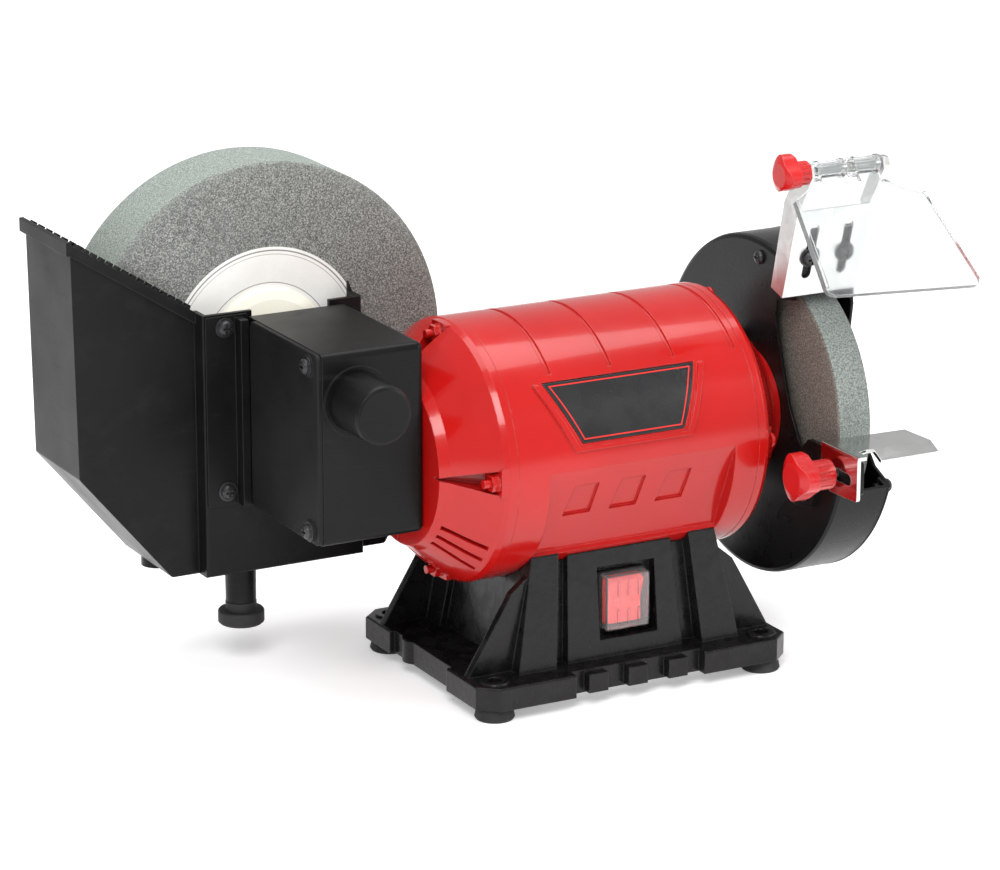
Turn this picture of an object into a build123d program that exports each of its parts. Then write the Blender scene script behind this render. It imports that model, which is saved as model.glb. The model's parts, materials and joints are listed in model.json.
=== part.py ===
from build123d import *
import math
import os

# Combined wet and dry bench grinder.
# X runs along the motor shaft (slow wet wheel at -X, fast dry wheel at +X), Y to the back, Z up.
# Origin: centre of the four-hole bench bolt pattern, on the bench surface.

# ---- driving dimensions (mm) ----
AXIS_Z = 125.6            # motor shaft height above the bench
MOTOR_R = 68.5            # motor housing outer radius
MOTOR_WALL = 2.0
BODY_X0, BODY_X1 = -70.0, 70.0
FLANGE_X, FLANGE_Y = 91.4, 71.1     # base flange half sizes
FLANGE_Z0, FLANGE_Z1 = 7.0, 19.2
BOLT_X, BOLT_Y, BOLT_R = 79.0, 59.2, 4.0
SHAFT_R = 7.5
DRY_R, DRY_X0, DRY_X1, DRY_BORE = 75.0, 114.0, 134.0, 6.35
GUARD_R, GUARD_X0, GUARD_X1, GUARD_T = 91.0, 106.0, 138.0, 1.6
WET_X, WET_Z = -140.6, 167.6        # wet wheel axis
WET_R, WET_Y0, WET_Y1, WET_BORE = 100.0, 75.0, 115.0, 10.0
BOX_X0, BOX_X1 = -159.4, -103.1     # gearbox housing
BOX_Y0, BOX_Y1 = -29.8, 58.8
BOX_Z0, BOX_Z1 = 94.0, 193.4
COVER_T = 2.4
# gear train: two-start worm -> 22 teeth, then 16 -> 32 teeth
WORM_STARTS, WORM_R, MODULE = 2, 7.0, 1.0
N_WHEEL, N_PINION, N_WET = 22, 16, 32
IDLER_Z = AXIS_Z + WORM_R + MODULE * N_WHEEL / 2
TROUGH_T = 2.5
TR_Y0, TR_Y1, TR_BUMP_Y0 = 70.0, 129.0, 59.5
TR_Z0 = 55.4
ROD_Y, ROD_Z = -68.5, 266.0         # eye shield hinge rod
SHIELD_TILT = 45.0                  # shield lean from vertical at rest
REST_X0, REST_X1, REST_Z = 101.0, 151.0, 126.0

os.makedirs("parts", exist_ok=True)
H = AXIS_Z


# ---- helpers ----
def bx(x0, x1, y0, y1, z0, z1):
    return Pos((x0 + x1) / 2, (y0 + y1) / 2, (z0 + z1) / 2) * Box(x1 - x0, y1 - y0, z1 - z0)


def cx(r, x0, x1, y=0.0, z=H):
    return Pos((x0 + x1) / 2, y, z) * Rot(0, 90, 0) * Cylinder(r, x1 - x0)


def cy(r, y0, y1, x, z):
    return Pos(x, (y0 + y1) / 2, z) * Rot(90, 0, 0) * Cylinder(r, y1 - y0)


def cz(r, z0, z1, x, y):
    return Pos(x, y, (z0 + z1) / 2) * Cylinder(r, z1 - z0)


def poly(pts):
    return Face(Wire.make_polygon([Vector(*p) for p in pts], close=True))


def pr_yz(pts, x0, x1):
    return extrude(poly([(x0, y, z) for y, z in pts]), amount=x1 - x0, dir=(1, 0, 0))


def pr_xz(pts, y0, y1):
    return extrude(poly([(x, y0, z) for x, z in pts]), amount=y1 - y0, dir=(0, 1, 0))


def pr_xy(pts, z0, z1):
    return extrude(poly([(x, y, z0) for x, y in pts]), amount=z1 - z0, dir=(0, 0, 1))


def rev_x(pts, y=0.0, z=H):
    """Turned part about a line along X: pts are (x, radius)."""
    return revolve(poly([(x, y, z + r) for x, r in pts]), axis=Axis((0, y, z), (1, 0, 0)), revolution_arc=360)


def rev_y(pts, x=WET_X, z=WET_Z):
    """Turned part about a line along Y: pts are (y, radius)."""
    return revolve(poly([(x, y, z + r) for y, r in pts]), axis=Axis((x, 0, z), (0, 1, 0)), revolution_arc=360)


def rev_z(pts, x, y):
    return revolve(poly([(x + r, y, z) for z, r in pts]), axis=Axis((x, y, 0), (0, 0, 1)), revolution_arc=360)


def hexpts(a, n=6, ph=0.0):
    r = a / math.cos(math.pi / n)
    return [(r * math.cos(ph + 2 * math.pi * i / n), r * math.sin(ph + 2 * math.pi * i / n)) for i in range(n)]


def hex_x(a, x0, x1, y, z, ph=0.0):
    return pr_yz([(y + u, z + v) for u, v in hexpts(a, 6, ph)], x0, x1)


def hex_y(a, y0, y1, x, z, ph=0.0):
    return pr_xz([(x + u, z + v) for u, v in hexpts(a, 6, ph)], y0, y1)


def solids_of(s):
    return s.solids()


def save(name, *shapes):
    sol = []
    for s in shapes:
        sol += list(s.solids())
    out = sol[0] if len(sol) == 1 else Compound(children=sol)
    export_step(out, "parts/%s.step" % name)
    print(name, len(sol), round(sum(s.volume for s in sol), 1))


def rnd(s, edges, r):
    try:
        return fillet(edges, r)
    except Exception as e:
        print("fillet skipped", r, str(e)[:40])
        return s


def pan_head(r, h, slot=True):
    """Pan head with cross recess, axis +Z, seat at z = 0."""
    prof = [(0, 0), (r, 0), (r, h * 0.45), (r * 0.8, h * 0.85), (r * 0.45, h), (0, h)]
    s = revolve(poly([(x, 0, z) for x, z in prof]), axis=Axis.Z, revolution_arc=360)
    c = Pos(0, 0, h) * (Box(r * 1.15, r * 0.26, h * 0.9) + Box(r * 0.26, r * 1.15, h * 0.9))
    return (s - c) if slot else s


def washer(r, ri, t):
    return Pos(0, 0, t / 2) * (Cylinder(r, t) - Cylinder(ri, t * 3))


# ================= base =================
def base_casting():
    c1, c2 = 9.6, 8.7
    fl = [(-FLANGE_X + c1, -FLANGE_Y), (FLANGE_X - c1, -FLANGE_Y), (FLANGE_X, -FLANGE_Y + c2), (FLANGE_X, FLANGE_Y - c2),
          (FLANGE_X - c1, FLANGE_Y), (-FLANGE_X + c1, FLANGE_Y), (-FLANGE_X, FLANGE_Y - c2), (-FLANGE_X, -FLANGE_Y + c2)]
    s = pr_xy(fl, FLANGE_Z0, FLANGE_Z1)
    s = rnd(s, s.faces().sort_by(Axis.Z)[-1].edges(), 1.2)
    # hollow tapered tower, cut to the motor outside
    zt = 96.0

    def ring(x0, x1, y, z):
        return poly([(x0, -y, z), (x1, -y, z), (x1, y, z), (x0, y, z)])
    tower = loft([ring(-54.0, 57.0, 48.5, FLANGE_Z1 - 0.2), ring(-40.5, 44.5, 41.0, zt)])
    # front and rear legs
    for sy in (-1, 1):
        for xa, xb, xc, xd in ((-64.0, -42.0, -49.5, -36.0), (44.5, 66.5, 38.0, 51.5)):
            f0 = poly([(xa, sy * 30, FLANGE_Z1 - 0.2), (xb, sy * 30, FLANGE_Z1 - 0.2), (xb, sy * 57.5, FLANGE_Z1 - 0.2), (xa, sy * 57.5, FLANGE_Z1 - 0.2)])
            f1 = poly([(xc, sy * 26, zt), (xd, sy * 26, zt), (xd, sy * 47.5, zt), (xc, sy * 47.5, zt)])
            tower = tower + loft([f0, f1])
        # raised centre panel
        f0 = poly([(-33.5, sy * 40, FLANGE_Z1 - 0.2), (34.5, sy * 40, FLANGE_Z1 - 0.2), (34.5, sy * 54.0, FLANGE_Z1 - 0.2), (-33.5, sy * 54.0, FLANGE_Z1 - 0.2)])
        f1 = poly([(-29.5, sy * 36, zt), (28.5, sy * 36, zt), (28.5, sy * 45.0, zt), (-29.5, sy * 45.0, zt)])
        tower = tower + loft([f0, f1])
    # end walls between the legs, waisted
    for x0, x1, x2, x3 in ((-60.0, -52.0, -47.0, -40.0), (54.5, 62.5, 42.0, 49.0)):
        f0 = poly([(x0, -46, FLANGE_Z1 - 0.2), (x1, -46, FLANGE_Z1 - 0.2), (x1, 46, FLANGE_Z1 - 0.2), (x0, 46, FLANGE_Z1 - 0.2)])
        f1 = poly([(x2, -38, zt), (x3, -38, zt), (x3, 38, zt), (x2, 38, zt)])
        tower = tower + loft([f0, f1])
    # corner gussets: thin triangular webs running out to the flange corners
    for sy in (-1, 1):
        for pts in ([(-89.5, FLANGE_Z1 - 0.5), (-58.0, FLANGE_Z1 - 0.5), (-50.0, 72.0), (-64.5, 60.0), (-68.0, 54.0)],
                    [(89.5, FLANGE_Z1 - 0.5), (60.0, FLANGE_Z1 - 0.5), (52.0, 72.0), (66.5, 60.0), (70.0, 54.0)]):
            y0, y1 = sorted((sy * 45.0, sy * 49.5))
            tower = tower + pr_xz(pts, y0, y1)
    # inside cavity
    cav = loft([ring(-47.0, 50.0, 40.0, FLANGE_Z0 - 1), ring(-36.5, 40.5, 35.0, 84.0)])
    s = s + tower
    s = s - cav
    s = s - cx(MOTOR_R + 0.15, -150, 150)
    # side recesses where the motor housing's flat lower sides sit are outside the tower
    # flange recess at the front and rear with three blocks
    for sy in (-1, 1):
        y0, y1 = sorted((sy * (FLANGE_Y - 6.0), sy * (FLANGE_Y + 1)))
        s = s - bx(-38.0, 38.0, y0, y1, FLANGE_Z0 - 1, FLANGE_Z1 + 1)
        y0, y1 = sorted((sy * (FLANGE_Y - 6.2), sy * (FLANGE_Y - 0.6)))
        for xc in (-24.6, -1.3, 22.5):
            s = s + bx(xc - 5.6, xc + 5.6, y0, y1, FLANGE_Z0 + 1.0, FLANGE_Z1 - 1.2)
    # flange ends: shallow waist with a round boss
    for sx in (-1, 1):
        x0, x1 = sorted((sx * (FLANGE_X - 3.0), sx * (FLANGE_X + 1)))
        s = s - bx(x0, x1, -30.0, 34.0, FLANGE_Z0 - 1, FLANGE_Z1 + 1)
        s = s + cz(8.0, FLANGE_Z0, FLANGE_Z1, sx * (FLANGE_X - 8.5), 19.0)
    # bench bolt holes and foot seats
    for sx in (-1, 1):
        for sy in (-1, 1):
            s = s - cz(BOLT_R, 0, 30, sx * BOLT_X, sy * BOLT_Y)
            s = s - cz(7.0, FLANGE_Z0 - 1, FLANGE_Z0 + 4.0, sx * BOLT_X, sy * BOLT_Y)
            s = s + (cz(7.6, FLANGE_Z1 - 0.5, FLANGE_Z1 + 0.9, sx * BOLT_X, sy * BOLT_Y) - cz(BOLT_R, 0, 30, sx * BOLT_X, sy * BOLT_Y))
    # switch pocket in the front panel: wide upper recess, cut-out for the switch body
    s = s - bx(-14.0, 20.0, -70, -43.0, 28.5, 66.5)
    s = s - bx(SW_X - 12.5, SW_X + 12.5, -60, -30, SW_Z - 13.5, SW_Z + 13.5)
    # underside recess for the bottom plate
    s = s - bx(-58.0, 60.0, -52.0, 52.0, FLANGE_Z0 - 1, FLANGE_Z0 + 2.0)
    # cord inlet in the rear panel, motor fixing screw holes in the saddle, plate screw holes
    s = s - cy(8.0, 30, 70, 0.0, 42.0)
    for x in (-48.0, 50.0):
        for sy in (-1, 1):
            s = s - cz(2.4, FLANGE_Z0 - 1, 100, x, sy * 38.0)
            s = s - cz(5.0, FLANGE_Z0 - 1, 52, x, sy * 38.0)
    for x in (-52.5, 55.0):
        for sy in (-1, 1):
            s = s - cz(1.5, FLANGE_Z0 - 1, FLANGE_Z0 + 11.0, x, sy * 47.0)
    return s


def rubber_feet():
    out = []
    for sx in (-1, 1):
        for sy in (-1, 1):
            prof = [(0.0, BOLT_R), (0.0, 9.6), (1.2, 10.4), (FLANGE_Z0, 9.0), (FLANGE_Z0, 6.9), (FLANGE_Z0 + 3.9, 6.9), (FLANGE_Z0 + 3.9, BOLT_R)]
            out.append(rev_z(prof, sx * BOLT_X, sy * BOLT_Y))
    return out


def bottom_plate():
    s = bx(-57.6, 59.6, -51.6, 51.6, FLANGE_Z0 + 0.2, FLANGE_Z0 + 1.8)
    for x in (-52.5, 55.0):
        for sy in (-1, 1):
            s = s - cz(1.7, 0, 20, x, sy * 47.0)
    for i in range(6):
        s = s - bx(-24 + i * 9.0, -21 + i * 9.0, -18, 18, 0, 20)
    return s


def bottom_plate_screws():
    out = []
    for x in (-52.5, 55.0):
        for sy in (-1, 1):
            out.append(cz(1.45, FLANGE_Z0 + 0.2, FLANGE_Z0 + 9.0, x, sy * 47.0) + Pos(x, sy * 47.0, FLANGE_Z0 + 0.2) * Rot(180, 0, 0) * pan_head(3.0, 1.8))
    return out


# ================= motor =================
BADGE = [(-49.0, 40.5), (39.6, 40.5), (26.2, 12.3), (-33.2, 12.3)]     # (x, angle above horizontal at the front)
GROOVES = (-43.0, -8.0, 29.0, 65.0)


def front_pt(x, a, r):
    t = math.radians(a)
    return (x, -r * math.cos(t), H + r * math.sin(t))


def motor_housing():
    s = cx(MOTOR_R, BODY_X0, BODY_X1)
    # flat lower sides: the housing falls in below its widest line
    for sy in (-1, 1):
        s = s - pr_yz([(sy * 68.4, H + 1.5), (sy * 47.6, 80.0), (sy * 58.0, 70.0), (sy * 90.0, 70.0), (sy * 90, H + 1.5)], -52.0, 56.0)
    # saddle flat where the housing rests on the base tower
    inner = cx(MOTOR_R - MOTOR_WALL, BODY_X0 - 1, BODY_X1 + 1)
    inner = inner & (pr_yz([(-66.0, H + 70), (66.0, H + 70), (66.0, H + 1.0), (45.2, 80.5), (40.0, 66.0), (0.0, 58.0), (-40.0, 66.0), (-45.2, 80.5), (-66.0, H + 1.0)], -54.6, 58.6)
                     + cx(MOTOR_R - MOTOR_WALL, BODY_X0 - 1, -54.5) + cx(MOTOR_R - MOTOR_WALL, 58.5, BODY_X1 + 1))
    s = s - inner
    # pressed grooves over the top
    for gx in GROOVES:
        g = rev_x([(gx - 1.7, MOTOR_R + 1), (gx + 1.7, MOTOR_R + 1), (gx + 0.9, MOTOR_R - 1.0), (gx - 0.9, MOTOR_R - 1.0)])
        s = s - (g & bx(gx - 3, gx + 3, -49.0, 49.0, H, H + 80))
    # recess for the badge plate
    b = [front_pt(x, a, 1.0) for x, a in BADGE]
    cut = pr_xz([(x, H + MOTOR_R * math.sin(math.radians(a))) for x, a in BADGE], -90, 0)
    s = s - (cut & (cx(MOTOR_R + 2, -60, 60) - cx(MOTOR_R - 0.8, -60, 60)))
    # raised frame round the badge
    def trap(d):
        return [(-49.0 - 1.62 * d, H + MOTOR_R * math.sin(math.radians(40.5))), (39.6 + 1.55 * d, H + MOTOR_R * math.sin(math.radians(40.5))),
                (26.2 + 1.2 * d, H + MOTOR_R * math.sin(math.radians(12.3)) - d), (-33.2 - 1.2 * d, H + MOTOR_R * math.sin(math.radians(12.3)) - d)]
    frame = (pr_xz(trap(3.4), -90, 0) - pr_xz(trap(1.4), -91, 1)) & (cx(MOTOR_R + 1.1, -69, 69) - cx(MOTOR_R - 0.5, -70, 70))
    frame = frame - bx(-100, 100, -90, 0, H + MOTOR_R * math.sin(math.radians(40.5)) - 0.3, 300)
    s = s + frame
    # three shallow recesses low on each flat side
    for sy in (-1, 1):
        for xc in (-31.0, -4.0, 23.0):
            n = Vector(0, sy * 45.5, -20.8).normalized()
            p0 = Vector(xc, sy * 60.0, 108.5)
            pl = Plane(origin=p0, x_dir=(1, 0, 0), z_dir=n)
            sk = pl * Face(Wire.make_polygon([Vector(-8, -9), Vector(8, -9), Vector(9.5, 10), Vector(-4.5, 10)], close=True))
            s = s - extrude(sk, amount=1.2, both=True)
    # tie bolt clearance is inside the shell; screw holes in the underside
    for x in (-48.0, 50.0):
        for sy in (-1, 1):
            s = s - cz(2.1, 60, 80, x, sy * 38.0)
    return s


def badge_plate():
    face = pr_xz([(x + (0.5 if x < 0 else -0.5), H + MOTOR_R * math.sin(math.radians(a)) + (-0.4 if a > 30 else 0.4)) for x, a in BADGE], -90, 0)
    return face & (cx(MOTOR_R + 0.1, -60, 60) - cx(MOTOR_R - 0.78, -60, 60))


TIE_R = 62.7


def tie_xy(i):
    a = math.radians(90 * i)
    return (TIE_R * math.sin(a), H + TIE_R * math.cos(a))


def left_end_bell():
    out = [(-70.0, 60.0), (-70.0, MOTOR_R + 0.1), (-74.5, MOTOR_R + 0.1), (-77.5, MOTOR_R - 1.2), (-86.0, 60.0), (-98.0, 48.5), (-103.0, 45.5),
           (-103.0, 11.0), (-100.0, 11.0), (-100.0, 17.5), (-88.0, 17.5), (-88.0, 20.5), (-97.0, 22.0), (-97.0, 43.0), (-83.5, 56.5), (-76.0, 64.5), (-71.5, 64.5), (-71.5, 60.0)]
    s = rev_x([(x, r) for x, r in out])
    # triangular pockets for the tie bolt nuts
    for i in range(4):
        y, z = tie_xy(i)
        a = math.degrees(math.atan2(z - H, y))
        w = Pos(0, 0, H) * Rot(a, 0, 0)
        boss = w * (pr_yz2([(TIE_R - 9, -7.5), (TIE_R + 7.5, -7.5), (TIE_R + 7.5, 7.5), (TIE_R - 9, 7.5)], -79.5, -72.0))
        s = s + (boss & cx(MOTOR_R - 0.4, -100, -60))
        cutp = w * loft([wedge_face(-103.5, 40.0, 46.0, 0.6), wedge_face(-79.5, 50.0, 73.0, 7.4)])
        wall = w * loft([wedge_face(-104.5, 37.5, 44.0, 2.2), wedge_face(-76.5, 46.5, 67.0, 9.4)])
        s = s + (wall & rev_x([(-70.0, 0.0), (-70.0, MOTOR_R - 0.2), (-76.5, MOTOR_R - 0.2), (-86.2, 59.6), (-98.0, 48.2), (-103.0, 45.2), (-103.0, 0.0)]))
        s = s - cutp
        s = s - cx(2.3, -90, -60, y, z)
    for y, z in BELL_SCREWS:
        s = s - cx(2.2, -104, -90, y, z)
    # vent slots low on both sides
    for a0 in (-127.0, -136.0, -145.0, -35.0, -44.0, -53.0):
        t = math.radians(a0)
        d = (math.cos(t), math.sin(t))
        slot = Pos(0, 0, H) * Rot(a0, 0, 0) * bx(-99.0, -79.5, 30.0, 75.0, -1.5, 1.5)
        s = s - slot
    return s


def pr_yz2(pts, x0, x1):
    return extrude(poly([(x0, y, z) for y, z in pts]), amount=x1 - x0, dir=(1, 0, 0))


def wedge_face(x, r0, r1, hw):
    return poly([(x, r0, -hw * 0.6), (x, r1, -hw), (x, r1, hw), (x, r0, hw * 0.6)])


def right_end_bell():
    out = [(70.0, 60.0), (70.0, MOTOR_R + 0.1), (74.0, MOTOR_R + 0.1), (76.5, MOTOR_R - 1.2), (92.5, 46.0), (95.0, 44.0), (95.0, 32.0), (105.8, 32.0),
           (105.8, 12.0), (98.5, 12.0), (98.5, 17.5), (86.5, 17.5), (86.5, 21.0), (92.5, 22.5), (92.5, 41.5), (76.0, 62.0), (71.5, 63.5), (71.5, 60.0)]
    s = rev_x([(x, r) for x, r in out])
    for i in range(4):
        y, z = tie_xy(i)
        a = math.degrees(math.atan2(z - H, y))
        w = Pos(0, 0, H) * Rot(a, 0, 0)
        boss = w * pr_yz2([(TIE_R - 7, -7.0), (TIE_R + 8.5, -7.0), (TIE_R + 8.5, 7.0), (TIE_R - 7, 7.0)], 70.5, 80.5)
        s = s + (boss & rev_x([(70.0, 0.0), (70.0, MOTOR_R - 0.2), (75.5, MOTOR_R - 0.2), (83.0, 61.0), (83.0, 0.0)]))
        s = s - cx(2.3, 60, 90, y, z)
        s = s - cx(4.6, 79.0, 95, y, z)
    for k in range(12):
        s = s - Pos(0, 0, H) * Rot(15 + 30 * k, 0, 0) * bx(84.0, 100.0, 26.0, 37.5, -2.0, 2.0)
    for k in range(3):
        a = math.radians(90 + 120 * k)
        s = s - cx(2.0, 96, 110, 27.0 * math.cos(a), H + 27.0 * math.sin(a))
    return s


def tie_bolts():
    out = []
    for i in range(4):
        y, z = tie_xy(i)
        out.append(cx(2.2, -87.5, 79.3, y, z) + (Pos(79.2, y, z) * Rot(0, 90, 0) * pan_head(4.2, 2.8)))
    return out


def tie_nuts():
    out = []
    for i in range(4):
        y, z = tie_xy(i)
        n = hex_x(3.9, -83.6, -80.2, y, z) - cx(2.28, -90, -70, y, z)
        w = cx(4.7, -80.2, -79.5, y, z) - cx(2.25, -90, -70, y, z)
        out += [n + w]
    return out


def stator():
    prof = [(-30.0, 39.0), (-30.0, 56.0), (34.0, 56.0), (34.0, 39.0)]
    s = rev_x(prof)
    # four feet reach out to the shell between the tie bolts
    for a in (45.0, 135.0, -60.0, -120.0):
        s = s + (Pos(0, 0, H) * Rot(a, 0, 0) * bx(-30.0, 34.0, 54.0, 70.0, -5.0, 5.0) & cx(MOTOR_R - MOTOR_WALL - 0.05, -40, 40))
    for k in range(24):
        t = Pos(0, 0, H) * Rot(15 * k, 0, 0) * bx(-31, 35, 38.0, 47.5, -2.2, 2.2)
        s = s - t
    return s


def windings():
    out = []
    for x0, x1 in ((-50.0, -30.2), (34.2, 54.0)):
        r = rev_x([(x0 + 2, 40.0), (x0, 42.5), (x0, 49.5), (x0 + 2.5, 52.0), (x1 - 2.5, 52.0), (x1, 49.5), (x1, 42.5), (x1 - 2, 40.0)])
        for k in range(12):
            r = r - (Pos(0, 0, H) * Rot(30 * k + 7.5, 0, 0) * bx(x0 - 1, x1 + 1, 50.8, 60.0, -0.8, 0.8))
        out.append(r)
    return out


def rotor_core():
    s = rev_x([(-30.0, 9.0), (-30.0, 30.0), (-34.0, 30.0), (-34.0, 36.5), (-30.0, 36.5), (-30.0, 38.4), (34.0, 38.4), (34.0, 36.5), (38.0, 36.5), (38.0, 30.0), (34.0, 30.0), (34.0, 9.0)])
    return s


def shaft():
    return rev_x([(-157.0, 0.0), (-157.0, 3.5), (-153.5, 3.98), (-153.5, 4.0), (-104.5, 4.0), (-104.5, SHAFT_R - 0.02), (-86.5, SHAFT_R - 0.02), (-86.5, 9.0), (85.0, 9.0), (85.0, SHAFT_R - 0.02),
                  (110.0, SHAFT_R - 0.02), (110.0, DRY_BORE - 0.05), (141.5, DRY_BORE - 0.05), (143.0, DRY_BORE - 1.0), (147.0, DRY_BORE - 1.0), (148.0, DRY_BORE - 2.0), (148.0, 0.0)])


def races(ri, ro, groove):
    out = []
    for x0 in (-99.5, 87.0):
        xc = x0 + 5.5
        s = rev_x([(x0, ri), (x0, ro), (x0 + 11, ro), (x0 + 11, ri)])
        s = s - rev_x([(xc - 2.2, 12.5 - 1.6), (xc - 2.2, 12.5 + 1.6), (xc - 1.2, 12.5 + 2.55), (xc + 1.2, 12.5 + 2.55), (xc + 2.2, 12.5 + 1.6), (xc + 2.2, 12.5 - 1.6), (xc + 1.2, 12.5 - 2.55), (xc - 1.2, 12.5 - 2.55)])
        out.append(s)
    return out


def balls():
    out = []
    for x0 in (-99.5, 87.0):
        for k in range(8):
            a = math.radians(45 * k)
            out.append(Pos(x0 + 5.5, 12.5 * math.cos(a), H + 12.5 * math.sin(a)) * Sphere(2.1))
    return out


# ================= gears =================
def involute_gear_pts(n, m, backlash=0.12, add=1.0, ded=1.2, alpha=20.0, phase=0.0, steps=5):
    r = m * n / 2
    rb = r * math.cos(math.radians(alpha))
    ra, rf = r + add * m, r - ded * m
    inv = lambda t: math.tan(t) - t
    a0 = math.radians(alpha)
    half = math.pi / (2 * n) - backlash / (2 * r)

    def half_at(rad):
        t = math.acos(min(1.0, rb / max(rad, rb)))
        return half + inv(a0) - inv(t)
    rs = [max(rb, rf) + (ra - max(rb, rf)) * i / steps for i in range(steps + 1)]
    pts = []
    for k in range(n):
        c = phase + 2 * math.pi * k / n
        h0 = half_at(rs[0])
        pts.append((rf * math.cos(c - h0 * 1.05), rf * math.sin(c - h0 * 1.05)))
        for q in rs:
            pts.append((q * math.cos(c - half_at(q)), q * math.sin(c - half_at(q))))
        for q in reversed(rs):
            pts.append((q * math.cos(c + half_at(q)), q * math.sin(c + half_at(q))))
        pts.append((rf * math.cos(c + h0 * 1.05), rf * math.sin(c + h0 * 1.05)))
    return pts


def worm():
    # transverse section of a two-start right-hand worm with trapezoidal axial teeth
    m = MODULE
    pitch = math.pi * m
    lead = WORM_STARTS * pitch
    ra, rf = WORM_R + 0.9 * m, WORM_R - 1.25 * m
    tan = math.tan(math.radians(20))
    wt = pitch / 2 - 0.30          # axial tooth width at the pitch line
    half = 12.0
    x0, x1 = WET_X - half, WET_X + half

    def rad(u):
        d = abs((u + pitch / 2) % pitch - pitch / 2)
        return max(rf, min(ra, WORM_R + (wt / 2 - d) / tan))
    # a gap faces +Z at x = WET_X, where the wheel has a tooth
    n = 120
    pts = []
    for i in range(n):
        th = 2 * math.pi * i / n        # from +Z towards -Y: right-handed about +X
        r = rad(lead * th / (2 * math.pi) + half + pitch / 2)
        pts.append((x0, -r * math.sin(th), H + r * math.cos(th)))
    turn = 360.0 * (x1 - x0) / lead
    s = Solid.extrude_linear_with_rotation(poly(pts), (x0, 0, H), (x1 - x0, 0, 0), turn)
    return s - cx(4.0, x0 - 1, x1 + 1)


def helical_wheel():
    lead = WORM_STARTS * math.pi * MODULE
    r = MODULE * N_WHEEL / 2
    y0, y1 = -5.0, 5.0
    turn = math.degrees((lead / (2 * math.pi * WORM_R)) * (y1 - y0) / r)
    ph = math.radians(-90.0 + turn / 2)
    pts = involute_gear_pts(N_WHEEL, MODULE, backlash=0.25, add=0.9, phase=ph)
    f = poly([(WET_X + u, y0, IDLER_Z + v) for u, v in pts])
    s = Solid.extrude_linear_with_rotation(f, (WET_X, y0, IDLER_Z), (0, y1 - y0, 0), turn)
    return s - cy(4.0, y0 - 1, y1 + 1, WET_X, IDLER_Z)


def spur(n, x, z, y0, y1, phase, bore, backlash=0.16):
    pts = involute_gear_pts(n, MODULE, backlash=backlash, phase=math.radians(phase))
    s = pr_xz([(x + u, z + v) for u, v in pts], y0, y1)
    return s - cy(bore, y0 - 1, y1 + 1, x, z)


def idler_shaft():
    return cy(3.97, -26.0, 55.0, WET_X, IDLER_Z)


def worm_wheel():
    hub = cy(7.0, 5.0, 8.0, WET_X, IDLER_Z) - cy(4.0, 4, 9, WET_X, IDLER_Z)
    return helical_wheel() + hub


def idler_pinion():
    return spur(N_PINION, WET_X, IDLER_Z, 14.0, 28.0, 90.0, 4.0)


def wet_gear():
    g = spur(N_WET, WET_X, WET_Z, 16.0, 26.0, -90.0 + 180.0 / N_WET, 7.0)
    g = g + (cy(11.0, 26.0, 31.0, WET_X, WET_Z) - cy(7.0, 25, 32, WET_X, WET_Z))
    for k in range(6):
        a = math.radians(60 * k)
        g = g - cy(1.9, 15, 27, WET_X + 10.8 * math.cos(a), WET_Z + 10.8 * math.sin(a))
    return g


def wet_shaft():
    return rev_y([(-50.0, 0.0), (-50.0, 5.0), (-49.0, 6.0), (-34.0, 6.0), (-34.0, 6.97), (62.0, 6.97), (62.0, WET_BORE - 0.05), (124.0, WET_BORE - 0.05),
                  (124.0, 7.95), (136.0, 7.95), (137.5, 6.5), (137.5, 0.0)])


def motor_end_bush():
    return rev_x([(-159.3, 0.0), (-159.3, 7.0), (-150.0 - 3.2, 7.0), (-153.2, 4.05), (-157.6, 4.05), (-157.6, 0.0)])


def gearbox_bushes():
    out = []
    out.append(rev_y([(-29.8, 7.0), (-29.8, 9.9), (-16.0, 9.9), (-16.0, 7.0)]))
    out.append(rev_y([(44.0, 7.0), (44.0, 9.9), (61.5, 9.9), (61.5, 7.0)]))
    out.append(rev_y([(-26.7, 0.0), (-26.7, 6.4), (-18.0, 6.4), (-18.0, 4.0), (-26.2, 4.0), (-26.2, 0.0)], WET_X, IDLER_Z))
    out.append(rev_y([(55.7, 0.0), (55.7, 6.4), (46.0, 6.4), (46.0, 4.0), (55.2, 4.0), (55.2, 0.0)], WET_X, IDLER_Z))
    return out


# ================= gearbox =================
GB_SCREWS = ((-19.5, 186.0), (-19.5, 100.5))
BELL_SCREWS = ((-20.4, 104.6), (20.4, 104.6), (-20.4, 147.0), (20.4, 147.0))
MOUNT_SCREWS = ((-172.0, 188.5), (-172.0, 101.5))


def rbox_x(x0, x1, y0, y1, z0, z1, r):
    s = bx(x0, x1, y0, y1, z0, z1)
    return fillet(s.edges().filter_by(Axis.X), r)


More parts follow.
